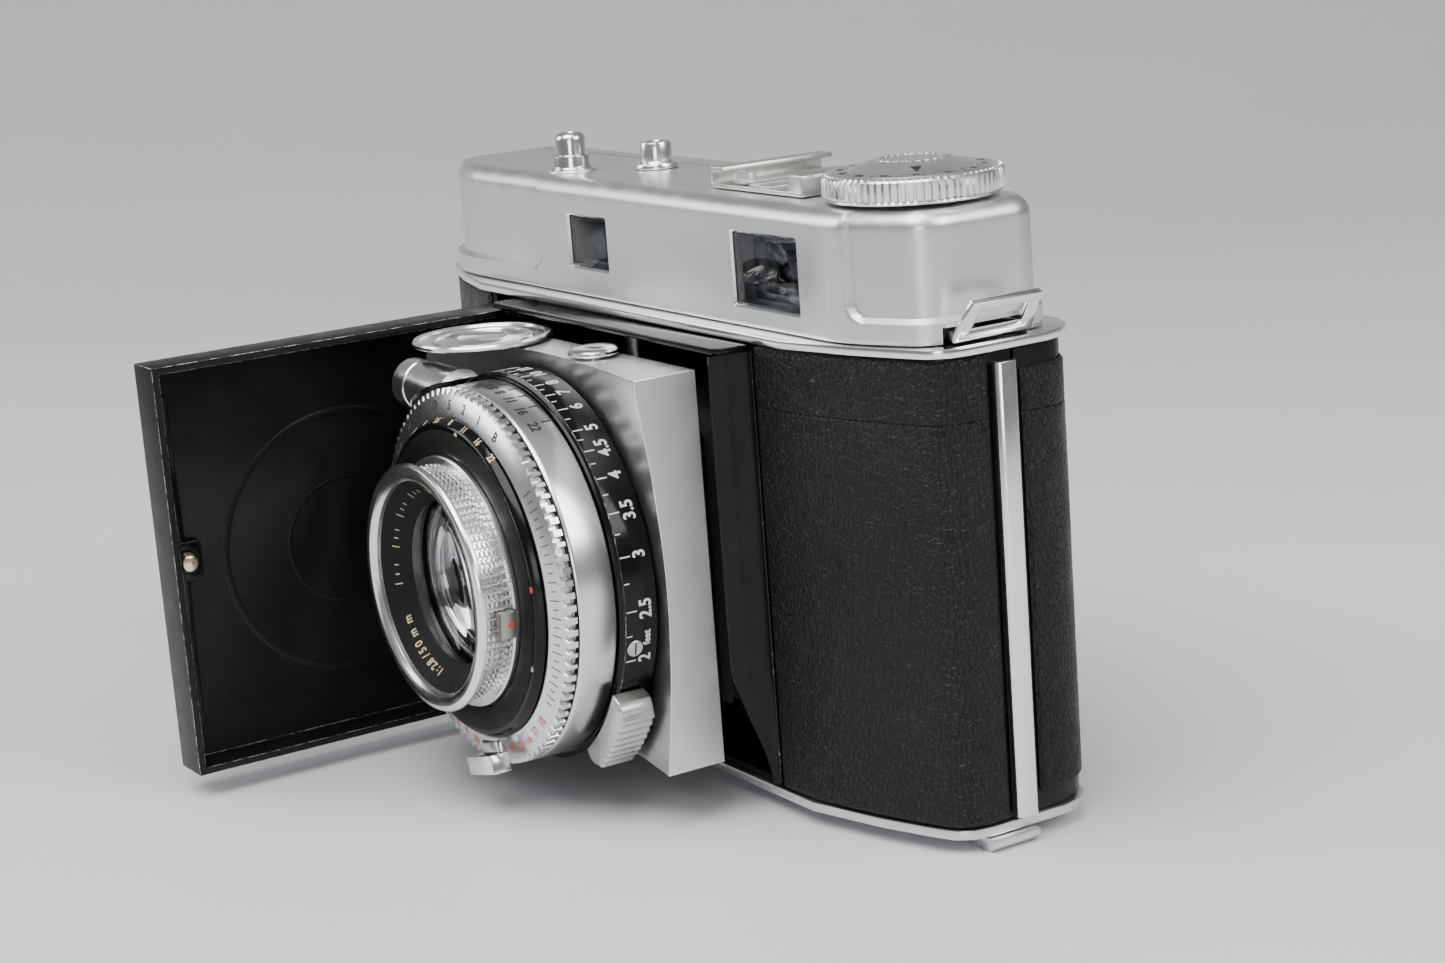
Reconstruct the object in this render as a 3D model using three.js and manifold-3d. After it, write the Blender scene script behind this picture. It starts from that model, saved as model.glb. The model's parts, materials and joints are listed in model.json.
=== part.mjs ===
// Folding 35 mm rangefinder camera, standing on its base with the front door
// open and the lens standard drawn out. Millimetres, +Z up, -Y is the lens side.
import * as THREE from 'three';
import { mergeVertices } from 'three/addons/utils/BufferGeometryUtils.js';
import Module from 'manifold-3d';

const wasm = await Module();
wasm.setup();

// ---------------------------------------------------------------- dimensions
const ORIGIN = [0, 28.375, 0];         // shift from the body's middle to the bottom centre of the whole box
const BASE_Z0 = 2.0, BASE_Z1 = 3.2;    // base plate
const BODY_Z0 = 3.4, BODY_Z1 = 63.1;   // leather-covered body
const BAND_Z0 = 63.3, BAND_Z1 = 64.5;  // bright trim band
const COVER_Z0 = 64.7, COVER_Z1 = 81.0;
const AXIS_Z = 31.55;                  // lens axis height, at X = 0
const CHAMBER_X = 32.6, CHAMBER_Z0 = 4.2, CHAMBER_Z1 = 62.4;
const FILM_Y = 11.5;                   // rear face of the film gate
const SLIDE = 31.5;                    // travel of the lens standard
const DOOR_AXIS = [-27.0, -14.0];      // door hinge
const DOOR = { out: -35.5, inn: -34.45, rim: -28.9, far: -72.0, near: -9.6, z0: 3.6, z1: 61.8, wall: 1.0 };
const HOUSING = { half: 29.7, z0: 7.9, z1: 60.5, front: -30.8, rear: -21.6 };
const R_FOCUS = 26.8, R_BARREL = 25.9, R_SPEED = 25.8, R_CELL = 16.9;
const CHAMBER_C = [48.4, 1.0], CHAMBER_R = 12.4;
const KNOB = { x: 49.3, y: 0.0, r: 11.4 };
const RELEASE = { x: -24.0, y: -7.0 };
const SOCKET = { x: -13.6, y: 1.0 };
const SHOE = { x0: 14.8, x1: 36.4, y0: -8.0, y1: 9.6 };
const BACK_AXIS = [-61.6, 8.6];

// ------------------------------------------------------------------- helpers
function toSolid(geo) {
  let g = geo.index ? geo.toNonIndexed() : geo.clone();
  for (const k of Object.keys(g.attributes)) if (k !== 'position') g.deleteAttribute(k);
  g = mergeVertices(g, 1e-5);
  return new wasm.Manifold(new wasm.Mesh({
    numProp: 3,
    vertProperties: new Float32Array(g.attributes.position.array),
    triVerts: new Uint32Array(g.index.array),
  }));
}
function toGeo(s) {
  const m = s.getMesh();
  const g = new THREE.BufferGeometry();
  g.setAttribute('position', new THREE.BufferAttribute(new Float32Array(m.vertProperties), 3));
  g.setIndex(new THREE.BufferAttribute(new Uint32Array(m.triVerts), 1));
  return g;
}
const shapeOf = (pts, holes = []) => {
  const s = new THREE.Shape(pts.map(p => new THREE.Vector2(p[0], p[1])));
  for (const h of holes) s.holes.push(new THREE.Path(h.map(p => new THREE.Vector2(p[0], p[1]))));
  return s;
};
// outline in XY, raised from z0 to z1
const exZ = (pts, z0, z1, holes) => {
  const g = new THREE.ExtrudeGeometry(shapeOf(pts, holes), { depth: z1 - z0, bevelEnabled: false });
  g.translate(0, 0, z0); return toSolid(g);
};
// outline in XZ, running from y0 to y1
const exY = (pts, y0, y1, holes) => {
  const g = new THREE.ExtrudeGeometry(shapeOf(pts, holes), { depth: y1 - y0, bevelEnabled: false });
  g.rotateX(Math.PI / 2); g.translate(0, y1, 0); return toSolid(g);
};
// outline in YZ, running from x0 to x1
const exX = (pts, x0, x1) => {
  const g = new THREE.ExtrudeGeometry(shapeOf(pts), { depth: x1 - x0, bevelEnabled: false });
  g.applyMatrix4(new THREE.Matrix4().set(0, 0, 1, x0, 1, 0, 0, 0, 0, 1, 0, 0, 0, 0, 0, 1)); return toSolid(g);
};
const box = (x0, x1, y0, y1, z0, z1) => {
  const g = new THREE.BoxGeometry(x1 - x0, y1 - y0, z1 - z0);
  g.translate((x0 + x1) / 2, (y0 + y1) / 2, (z0 + z1) / 2); return toSolid(g);
};
// turned about a vertical axis; profile of [r, z]
const turnZ = (prof, x, y, n = 32) => {
  const g = new THREE.LatheGeometry(prof.map(p => new THREE.Vector2(p[0], p[1])), n);
  g.rotateX(Math.PI / 2); g.translate(x, y, 0); return fix(toSolidRaw(g));
};
// turned about an axis along Y; profile of [r, y]
const turnY = (prof, x, z, n = 32) => {
  const g = new THREE.LatheGeometry(prof.map(p => new THREE.Vector2(p[0], p[1])), n);
  g.translate(x, 0, z); return fix(toSolidRaw(g));
};
// turned about an axis along X; profile of [r, x]
const turnX = (prof, y, z, n = 32) => {
  const g = new THREE.LatheGeometry(prof.map(p => new THREE.Vector2(p[0], p[1])), n);
  g.rotateZ(-Math.PI / 2); g.translate(0, y, z); return fix(toSolidRaw(g));
};
function toSolidRaw(geo) {
  const g = geo.index ? geo.toNonIndexed() : geo.clone();
  for (const k of Object.keys(g.attributes)) if (k !== 'position') g.deleteAttribute(k);
  // drop the zero-area triangles on the axis
  const p = g.attributes.position.array, keep = [];
  const eq = (a, b) => Math.hypot(p[a] - p[b], p[a + 1] - p[b + 1], p[a + 2] - p[b + 2]) < 1e-6;
  for (let i = 0; i < p.length; i += 9) {
    if (eq(i, i + 3) || eq(i + 3, i + 6) || eq(i, i + 6)) continue;
    for (let k = 0; k < 9; k++) keep.push(p[i + k]);
  }
  const q = new THREE.BufferGeometry();
  q.setAttribute('position', new THREE.BufferAttribute(new Float32Array(keep), 3));
  return mergeVertices(q, 1e-5);
}
// signed volume decides the winding, so a profile may be drawn either way round
function fix(g) {
  const p = g.attributes.position.array, t = g.index.array;
  let v = 0;
  for (let i = 0; i < t.length; i += 3) {
    const [a, b, c] = [t[i] * 3, t[i + 1] * 3, t[i + 2] * 3];
    v += p[a] * (p[b + 1] * p[c + 2] - p[b + 2] * p[c + 1]) - p[a + 1] * (p[b] * p[c + 2] - p[b + 2] * p[c]) + p[a + 2] * (p[b] * p[c + 1] - p[b + 1] * p[c]);
  }
  const tri = new Uint32Array(t);
  if (v < 0) for (let i = 0; i < tri.length; i += 3) { const s = tri[i + 1]; tri[i + 1] = tri[i + 2]; tri[i + 2] = s; }
  return new wasm.Manifold(new wasm.Mesh({ numProp: 3, vertProperties: new Float32Array(p), triVerts: tri }));
}
const cylZ = (x, y, r, z0, z1, n = 32) => turnZ([[0, z0], [r, z0], [r, z1], [0, z1]], x, y, n);
const cylY = (x, z, r, y0, y1, n = 32) => turnY([[0, y0], [r, y0], [r, y1], [0, y1]], x, z, n);
const cylX = (y, z, r, x0, x1, n = 32) => turnX([[0, x0], [r, x0], [r, x1], [0, x1]], y, z, n);
const ringZ = (x, y, ri, ro, z0, z1, n = 32) => turnZ([[ri, z0], [ro, z0], [ro, z1], [ri, z1], [ri, z0]], x, y, n);
const ringY = (x, z, ri, ro, y0, y1, n = 44) => turnY([[ri, y0], [ro, y0], [ro, y1], [ri, y1], [ri, y0]], x, z, n);

const BRIGHT = { color: 0xc9cacc, roughness: 0.32, metalness: 1.0 };
const POLISH = { color: 0xdedfe1, roughness: 0.12, metalness: 1.0 };
const LEATHER = { color: 0x17171a, roughness: 0.62, metalness: 0.0 };
const BLACK = { color: 0x0b0b0c, roughness: 0.45, metalness: 0.1 };
const GLOSS = { color: 0x08080a, roughness: 0.2, metalness: 0.1 };
const STEEL = { color: 0x9a9a98, roughness: 0.4, metalness: 1.0 };
const BRASS = { color: 0xc9b48a, roughness: 0.35, metalness: 1.0 };
const GLASS = { color: 0x9fb0c4, roughness: 0.05, metalness: 0.0, transparent: true, opacity: 0.35 };

const camera = new THREE.Group();
camera.position.set(...ORIGIN);
function add(name, solid, look) {
  const mesh = new THREE.Mesh(toGeo(solid), new THREE.MeshStandardMaterial(look));
  mesh.name = name;
  camera.add(mesh);
  return mesh;
}

// ---------------------------------------------------------- outline of the body
const HALF = [[0, -15.1], [40, -15.1], [51, -12.3], [58.5, -9.6], [61.6, -8.2], [63.1, -6.2], [63.6, -3.6],
  [63.6, 8.2], [62.8, 11.0], [60.6, 13.5], [57.2, 14.9], [0, 15.2]];
function outline(inset = 0) {
  const pts = [...HALF.slice(1, -1), ...HALF.slice(1, -1).reverse().map(p => [-p[0], p[1]])];
  const n = pts.length;
  return pts.map((p, i) => {
    const a = pts[(i + n - 1) % n], b = pts[(i + 1) % n];
    const e1 = new THREE.Vector2(p[0] - a[0], p[1] - a[1]).normalize(), e2 = new THREE.Vector2(b[0] - p[0], b[1] - p[1]).normalize();
    const n1 = new THREE.Vector2(-e1.y, e1.x), n2 = new THREE.Vector2(-e2.y, e2.x);
    const m = n1.clone().add(n2).normalize();
    const k = inset / Math.max(0.5, m.dot(n1));
    return [p[0] + m.x * k, p[1] + m.y * k];
  });
}
const skin = (a, b, z0, z1) => exZ(outline(a), z0, z1).subtract(exZ(outline(b), z0 - 1, z1 + 1));

// ------------------------------------------------------------------ main body
// the die casting: lens chamber in the middle, cartridge chamber at +X, spool chamber at -X
{
  let s = exZ(outline(0.7), BODY_Z0, BODY_Z1);
  s = s.subtract(box(-70, 70, 10.2, 20, 0, 70));                                     // open back
  s = s.subtract(box(61.0, 70, 3.2, 20, 0, 70)).subtract(box(-70, -60.4, 5.6, 20, 0, 70)); // steps the back laps over
  s = s.subtract(box(-CHAMBER_X, CHAMBER_X, -20, 20, CHAMBER_Z0, CHAMBER_Z1));       // lens chamber
  s = s.subtract(box(-37.0, -28.0, -20, -7.6, 0, 70));                               // pocket for the door's hinge edge
  for (const sx of [1, -1]) {
    s = s.subtract(cylZ(sx * CHAMBER_C[0], CHAMBER_C[1], CHAMBER_R, 5.0, 61.6, 32));
    s = s.subtract(box(sx * CHAMBER_C[0] - CHAMBER_R, sx * CHAMBER_C[0] + CHAMBER_R, CHAMBER_C[1], 20, 5.0, 61.6));
  }
  s = s.subtract(cylZ(BACK_AXIS[0], BACK_AXIS[1], 2.3, 0, 70, 20));
  s = s.subtract(cylZ(KNOB.x, KNOB.y, 2.6, 60, 70, 20)).subtract(cylZ(-CHAMBER_C[0], 0.8, 2.6, 0, 8, 20)); // shaft holes
  s = s.subtract(cylZ(DOOR_AXIS[0], DOOR_AXIS[1], 1.2, 0, 70, 16));
  s = s.subtract(box(-37.0, -22.4, -20, -9.2, 0, 5));                                // and for its lower ear
  // recess for the sprocket shaft beside the film gate
  s = s.subtract(cylZ(-34.8, 7.2, 4.1, 6.4, 61.2, 24)).subtract(box(-38.9, -30.7, 7.2, 20, 6.4, 61.2));
  s = s.subtract(cylZ(-CHAMBER_C[0], 0.8, 2.6, 60, 70, 20));
  add('body_casting', s, BLACK);
}
// leather covering of the front, in two panels that wrap round the ends
{
  const wrap = skin(0, 0.5, BODY_Z0 + 0.1, BODY_Z1 - 0.1);
  add('front_leather_right', wrap.intersect(box(33.0, 70, -20, -0.6, 0, 70)), LEATHER);
  add('front_leather_left', wrap.intersect(box(-70, -38.0, -20, -0.6, 0, 70)), LEATHER);
}
const BOSS_R = 9.5;
add('base_plate', exZ(outline(0.1), BASE_Z0, BASE_Z1)
  .subtract(cylZ(0, 0, 4.2, 0, 5, 24)).subtract(cylZ(-CHAMBER_C[0], 0.8, 2.6, 0, 8, 20))
  .subtract(cylZ(BACK_AXIS[0], BACK_AXIS[1], 1.2, 0, 8, 20)), BRIGHT);
add('trim_band', exZ(outline(-0.35), BAND_Z0, BAND_Z1).subtract(cylZ(KNOB.x, KNOB.y, 2.6, 60, 70, 20))
  .subtract(cylZ(-CHAMBER_C[0], 0.8, 2.6, 60, 70, 20)), POLISH);
for (const [side, sx] of [['right', 1], ['left', -1]]) {
  const pts = [[63.2, -0.3], [64.3, -0.3], [64.9, 0.3], [64.9, 2.4], [64.3, 3.0], [63.2, 3.0]].map(p => [sx * p[0], p[1]]);
  add('end_strip_' + side, exZ(pts, 3.7, 62.0), POLISH);
  add('foot_' + side, exY([[58.6, 1.8], [58.6, 0.5], [59.1, 0], [63.6, 0], [64.6, 0.8], [64.6, 1.8]].map(p => [sx * p[0], p[1]]), -4.4, 3.0), BRIGHT);
}
// tripod socket in the middle of the base, with the knurled ring that opens the back round it
add('tripod_boss', turnZ([[0, 2.6], [2.9, 2.6], [2.9, 0], [5.9, 0], [5.9, 1.7], [3.9, 1.7], [3.9, 3.15], [0, 3.15]], 0, 0, 32), STEEL);
add('back_release_ring', ringZ(0, 0, 6.3, 9.4, 0.3, 1.7, 32).add(box(8.6, 12.6, -1.6, 1.6, 0.5, 1.6)), BRIGHT);
// film-advance lever on the base, under the spool chamber
{
  let s = cylZ(-CHAMBER_C[0], 0.8, 5.2, 0.5, 1.7, 32);
  s = s.add(exZ([[-48.4, -4.4], [-44.0, -4.2], [-22.0, -10.6], [-20.6, -9.4], [-20.8, -6.6], [-22.0, -5.6], [-44.5, 4.6], [-48.4, 6.0]], 0.6, 1.6));
  s = s.add(cylZ(-CHAMBER_C[0], 0.8, 2.2, 1.2, 4.6, 20));
  add('advance_lever', s, BRIGHT);
}

// ------------------------------------------------------------------ top cover
{
  const cov = inset => outline(inset);
  // the middle block stands 1 mm proud in front of the two ends
  const blk = [[-50.5, -13.0], [50.5, -13.0], [52.5, -11.9], [60.2, -8.4], [61.9, -5.0], [61.9, 8.0], [60.8, 10.4], [57.0, 12.8], [-57.0, 12.8], [-60.8, 10.4], [-61.9, 8.0], [-61.9, -5.0], [-60.2, -8.4], [-52.5, -11.9]];
  const inner = blk.map(p => [p[0] * 0.975, p[1] * 0.9]);
  let s = exZ(blk, COVER_Z0, COVER_Z1 - 1.0);
  const top = blk.map(p => [p[0] * 0.987, p[1] * 0.93]);
  s = s.add(exZ(top, COVER_Z1 - 1.2, COVER_Z1));
  s = s.subtract(exZ(inner, 0, COVER_Z1 - 1.2));
  s = s.subtract(box(26.4, 41.9, -20, -10.5, 67.05, 77.2)).subtract(box(-16.3, -5.2, -20, -10.5, 68.4, 76.3)); // two front windows
  s = s.subtract(cylY(34.0, 72.2, 3.6, 5, 20, 24));                                  // eyepiece hole
  s = s.subtract(cylZ(KNOB.x, KNOB.y, 2.6, 60, 90, 20)).subtract(cylZ(RELEASE.x, RELEASE.y, 2.5, 60, 90, 24))
    .subtract(cylZ(SOCKET.x, SOCKET.y, 2.2, 60, 90, 24));
  s = s.subtract(box(60.0, 70, -5.6, 6.8, 64, 66.6)).subtract(box(-70, -60.0, -5.6, 6.8, 64, 66.6));             // lug cut-outs
  add('top_cover', s, BRIGHT);
}
add('viewfinder_window', box(26.6, 41.7, -12.6, -12.0, 67.25, 77.0), GLASS);
add('rangefinder_window', box(-16.1, -5.4, -12.6, -12.0, 68.6, 76.1), GLASS);
add('viewfinder_mask', box(26.0, 42.3, -11.2, -8.6, 66.6, 77.6).subtract(box(30.5, 39.0, -12, -8, 69.0, 75.2)), BLACK);
add('beam_splitter', exZ([[29.6, -6.2], [38.4, -6.2], [38.4, 2.6]], 67.4, 76.6), GLASS);
add('rangefinder_mirror', exZ([[-15.4, -8.6], [-14.4, -8.6], [-5.6, 0.2], [-5.6, 1.2]], 67.4, 76.8), POLISH);
add('eyepiece_ring', turnY([[2.4, 11.0], [3.4, 11.0], [3.4, 13.0], [4.8, 13.0], [4.8, 14.0], [2.4, 14.0], [2.4, 11.0]], 34.0, 72.2, 28), BLACK);
add('eyepiece_lens', turnY([[0, 11.6], [2.2, 11.6], [2.2, 12.6], [1.2, 12.9], [0, 13.0]], 34.0, 72.2, 24), GLASS);
// accessory shoe with its leaf spring
{
  const w = 1.5, h = 2.7, z = COVER_Z1 + 0.2;
  const sec = [[SHOE.x0, z], [SHOE.x1, z], [SHOE.x1, z + h], [SHOE.x1 - 3.4, z + h], [SHOE.x1 - 3.4, z + h - 0.8], [SHOE.x1 - 0.9, z + h - 0.8], [SHOE.x1 - 0.9, z + 0.6],
    [SHOE.x0 + 0.9, z + 0.6], [SHOE.x0 + 0.9, z + h - 0.8], [SHOE.x0 + 3.4, z + h - 0.8], [SHOE.x0 + 3.4, z + h], [SHOE.x0, z + h]];
  add('accessory_shoe', exY(sec, SHOE.y0, SHOE.y1), STEEL);
  const zz = z + 0.8;
  const leaf = exX([[-7.6, zz], [-6.6, zz], [-5.8, zz], [8.6, zz], [8.6, zz + 0.35], [-5.6, zz + 0.35], [-6.4, zz + 1.0], [-7.0, zz + 1.0], [-7.6, zz + 0.5]], SHOE.x0 + 4.4, SHOE.x0 + 7.6);
  add('shoe_spring', leaf, STEEL);
}
// shutter release with its fixed collar, and the cable-release socket
add('release_collar', turnZ([[2.3, COVER_Z1 + 0.2], [2.9, COVER_Z1 + 0.2], [2.7, COVER_Z1 + 2.3], [2.3, COVER_Z1 + 2.5], [2.3, COVER_Z1 + 0.2]], RELEASE.x, RELEASE.y, 28), POLISH);
add('release_button', turnZ([[0, 76.4], [1.9, 76.4], [1.9, COVER_Z1 + 5.0], [1.6, COVER_Z1 + 5.5], [1.2, COVER_Z1 + 5.6], [0.9, COVER_Z1 + 4.6], [0, COVER_Z1 + 4.6]], RELEASE.x, RELEASE.y, 28), POLISH);
add('cable_socket', turnZ([[0, 78.6], [1.9, 78.6], [1.9, COVER_Z1 + 0.2], [3.2, COVER_Z1 + 0.2], [3.1, COVER_Z1 + 0.8], [2.3, COVER_Z1 + 1.1], [2.3, COVER_Z1 + 3.6], [1.9, COVER_Z1 + 3.9], [1.0, COVER_Z1 + 3.9], [0.8, COVER_Z1 + 1.6], [0, COVER_Z1 + 1.6]], SOCKET.x, SOCKET.y, 28), POLISH);
// rewind knob with the film reminder dial, its collar and its fork
add('rewind_knob', turnZ([[0, COVER_Z1 + 0.4], [10.7, COVER_Z1 + 0.4], [10.9, COVER_Z1 + 1.0], [KNOB.r - 0.5, COVER_Z1 + 1.0], [KNOB.r, COVER_Z1 + 1.4], [KNOB.r, COVER_Z1 + 3.2],
  [KNOB.r - 0.6, COVER_Z1 + 3.7], [10.0, COVER_Z1 + 3.7], [10.0, COVER_Z1 + 3.3], [0, COVER_Z1 + 3.3]], KNOB.x, KNOB.y, 40)
  .add(turnZ([[0, 62.0], [1.6, 62.0], [1.6, COVER_Z1 + 0.6], [0, COVER_Z1 + 0.6]], KNOB.x, KNOB.y, 20))
  .add(box(KNOB.x - 0.7, KNOB.x + 0.7, KNOB.y - 2.2, KNOB.y + 2.2, 57.6, 60.6)).add(cylZ(KNOB.x, KNOB.y, 2.2, 60.2, 62.2, 20)), POLISH);
add('reminder_dial', turnZ([[0, COVER_Z1 + 3.4], [9.7, COVER_Z1 + 3.4], [9.7, COVER_Z1 + 3.8], [6.9, COVER_Z1 + 4.1], [5.9, COVER_Z1 + 4.9], [4.6, COVER_Z1 + 5.1], [0, COVER_Z1 + 5.1]], KNOB.x, KNOB.y, 40), BRIGHT);
add('rewind_collar', ringZ(KNOB.x, KNOB.y, 1.8, 4.2, 68.0, 70.4, 28), STEEL);
// strap lugs: slanted rectangular loops that come out through the ends of the cover
for (const [side, sx] of [['right', 1], ['left', -1]]) {
  const g = new THREE.ExtrudeGeometry(shapeOf([[-5.5, 0], [6.4, 0], [5.7, 6.2], [-4.8, 6.2]], [[[-3.6, 1.2], [-3.2, 4.9], [4.2, 4.9], [4.6, 1.2]]]), { depth: 0.9, bevelEnabled: false });
  g.applyMatrix4(new THREE.Matrix4().set(0, 0, 1, 0, 1, 0, 0, 0, 0, 1, 0, 0, 0, 0, 0, 1));
  g.rotateY(0.62); g.translate(62.0, 0.3, 65.4);
  if (sx < 0) g.applyMatrix4(new THREE.Matrix4().makeScale(-1, 1, 1));
  add('strap_lug_' + side, fix(toSolidRaw(g)).add(box(Math.min(sx * 60.6, sx * 62.6), Math.max(sx * 60.6, sx * 62.6), -4.6, 5.6, 65.0, 66.2)), STEEL);
}

// ------------------------------------------------------------------- inside
add('film_gate', box(-32.3, 32.3, FILM_Y - 1.0, FILM_Y, 5.0, 60.3).subtract(box(-18, 18, 0, 20, AXIS_Z - 12, AXIS_Z + 12)), BLACK);
// bellows between the lens standard and the film gate
{
  const sq = (h, y0, y1) => exY([[-h, AXIS_Z - h + 2], [h, AXIS_Z - h + 2], [h, AXIS_Z + h - 2], [-h, AXIS_Z + h - 2]], y0, y1);
  let s = sq(21.6, -20.6, FILM_Y - 1.4);
  s = s.subtract(sq(19.6, -30, 30));
  add('bellows', s, BLACK);
}
add('take_up_spool', turnZ([[0, 7.0], [11.2, 7.0], [11.2, 8.0], [5.6, 8.0], [5.6, 59.0], [11.2, 59.0], [11.2, 60.0], [0, 60.0]], -CHAMBER_C[0], 0.8, 32), BLACK);
add('sprocket_shaft', turnZ([[0, 7.2], [2.6, 7.2], [2.6, 13.5], [3.4, 13.5], [3.4, 16.5], [2.4, 16.5], [2.4, 46.6], [3.4, 46.6], [3.4, 49.6], [2.6, 49.6], [2.6, 60.2], [0, 60.2]], -34.8, 7.2, 20), STEEL);

// ------------------------------------------------------------------ front door
{
  const D = DOOR;
  let s = box(D.out, D.rim, D.far, D.near, D.z0, D.z1);
  s = s.subtract(box(D.inn, D.rim + 1, D.far + D.wall, D.near - D.wall, D.z0 + D.wall, D.z1 - D.wall));
  // ears that reach the hinge pins above and below the lens chamber
  for (const [a, b] of [[D.z0, D.z0 + 0.9], [D.z1 - 0.9, D.z1]]) {
    s = s.add(exZ([[-29.4, -17.4], [-26.4, -16.2], [-24.9, -14.9], [-24.9, -13.1], [-26.4, -12.0], [-29.4, -11.4]], a, b));
  }
  s = s.subtract(cylZ(DOOR_AXIS[0], DOOR_AXIS[1], 1.05, 0, 70, 16));
  s = s.subtract(cylX(-68.6, 33.2, 1.4, -40, -30, 20)); // hole for the latch
  add('front_door', s, BLACK);
}
add('door_hinge_pin_lower', cylZ(DOOR_AXIS[0], DOOR_AXIS[1], 0.8, 3.4, 5.6, 16), STEEL);
add('door_hinge_pin_upper', cylZ(DOOR_AXIS[0], DOOR_AXIS[1], 0.8, 60.8, 63.2, 16), STEEL);
add('door_leather', box(DOOR.out - 0.65, DOOR.out - 0.15, DOOR.far + 0.8, -16.6, DOOR.z0 + 0.6, DOOR.z1 - 0.6)
  .subtract(cylX(-68.6, 33.2, 3.0, -40, -30, 24)), LEATHER);
// catch in the door's free edge: button outside, stud inside
add('latch_button', turnX([[0, -38.2], [1.3, -38.1], [2.3, -37.6], [2.6, -37.0], [2.6, -36.5], [1.1, -36.5], [1.1, -33.6], [1.5, -33.6], [1.5, -32.6], [1.1, -31.9], [0, -31.7]], -68.6, 33.2, 24), BRASS);

// --------------------------------------------------------------- lens standard
{
  const H = HOUSING, c = 3.6;
  let s = exY([[-H.half + c, H.z0], [H.half, H.z0], [H.half, H.z1], [-H.half + c, H.z1], [-H.half, H.z1 - c], [-H.half, H.z0 + c]], H.front, H.rear);
  // dished front face
  s = s.subtract(turnY([[0, -27.5], [26.0, -27.5], [41.5, -31.1], [41.5, -40], [0, -40]], 0, AXIS_Z, 64));
  s = s.subtract(cylY(0, AXIS_Z, 19.5, -40, 0, 48));
  s = s.subtract(box(-H.half + 1.2, H.half - 1.2, -26.2, 0, H.z0 + 1.2, H.z1 - 1.2).intersect(box(-H.half + 1.2, H.half - 1.2, -26.0, 0, 0, 70)));
  s = s.subtract(cylZ(9.6, -24.9, 1.6, 0, 70, 20));
  add('lens_housing', s, BRIGHT);
}
const button = up => {
  const k = up ? 1 : -1, z = up ? HOUSING.z1 : HOUSING.z0, r = up ? 3.5 : 2.8;
  return turnZ([[0, z - k * 2.4], [1.35, z - k * 2.4], [1.35, z + k * 0.3], [r, z + k * 0.3], [r, z + k * 0.8], [r * 0.6, z + k * 1.5], [0, z + k * 1.6]], 9.6, -24.9, 24);
};
add('close_button_top', button(true), POLISH);
add('close_button_bottom', button(false), POLISH);
add('strut_disc', turnZ([[0, 60.75], [9.8, 60.75], [9.8, 61.3], [8.8, 61.6], [0, 61.2]], -13.6, -29.3, 36), POLISH);
add('shutter_barrel', turnY([[14.6, -39.3], [R_BARREL, -39.3], [R_BARREL, -33.9], [21.6, -33.9], [21.6, -27.8], [18.9, -27.8], [18.9, -22.0], [14.6, -22.0], [14.6, -39.3]], 0, AXIS_Z, 44), BRIGHT);
add('focus_ring', ringY(0, AXIS_Z, 21.9, R_FOCUS, -33.6, -27.9, 44), GLOSS);
{
  const a0 = -0.955, a1 = -0.495, pts = [];
  for (let i = 0; i <= 8; i++) { const a = a0 + (a1 - a0) * i / 8; pts.push([31.0 * Math.cos(a), AXIS_Z + 31.0 * Math.sin(a)]); }
  for (let i = 8; i >= 0; i--) { const a = a0 + (a1 - a0) * i / 8; pts.push([27.1 * Math.cos(a), AXIS_Z + 27.1 * Math.sin(a)]); }
  add('focus_grip', exY(pts, -34.6, -29.4), STEEL);
}
add('speed_ring', turnY([[19.6, -41.9], [22.3, -41.9], [R_SPEED, -40.9], [R_SPEED, -39.6], [19.6, -39.6], [19.6, -41.9]], 0, AXIS_Z, 44), BRIGHT);
add('aperture_ring', turnY([[17.9, -43.2], [21.2, -43.2], [22.0, -42.2], [19.3, -42.2], [19.3, -39.7], [17.9, -39.7], [17.9, -43.2]], 0, AXIS_Z, 44), BLACK);
{
  const t = exY([[-3.2, AXIS_Z - 26.2], [2.0, AXIS_Z - 26.2], [1.6, AXIS_Z - 20.6], [-2.8, AXIS_Z - 20.6]], -43.4, -42.7);
  const u = exY([[-4.4, AXIS_Z - 26.3], [3.2, AXIS_Z - 26.3], [3.0, AXIS_Z - 23.7], [-4.2, AXIS_Z - 23.7]], -45.4, -42.7);
  // hangs a little to the right of straight down
  const lever = t.add(u).translate([0, 0, -AXIS_Z]).rotate([0, -14, 0]).translate([0, 0, AXIS_Z]);
  add('ev_lever', lever.subtract(cylY(0, AXIS_Z, 22.2, -50, -30, 48)), POLISH);
}
// front cell: knurled ring, bright rim and engraved ring round the front glass
add('front_cell', turnY([[12.4, -44.6], [15.2, -47.2], [16.1, -48.9], [R_CELL, -48.9], [R_CELL, -47.9], [16.2, -47.4], [15.9, -44.2], [17.2, -43.9], [17.2, -42.8], [17.5, -42.8], [17.5, -41.9], [12.4, -41.9], [12.4, -44.6]], 0, AXIS_Z, 44), BRIGHT);
add('index_tab', exY([[15.6, 27.0], [17.6, 27.4], [17.9, 31.0], [16.2, 31.0]].map(p => p), -46.4, -44.3).subtract(cylY(0, AXIS_Z, 16.5, -50, -30, 64)), STEEL);
add('front_element', turnY([[0, -44.0], [4, -43.7], [8, -42.8], [12.1, -41.4], [12.1, -40.0], [0, -40.0]], 0, AXIS_Z, 40), GLASS);
add('shutter_blades', cylY(0, AXIS_Z, 14.2, -36.2, -35.8, 40), BLACK);
add('rear_element', turnY([[0, -25.6], [12.4, -25.6], [12.4, -24.0], [8, -22.9], [0, -22.4]], 0, AXIS_Z, 40), GLASS);
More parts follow.
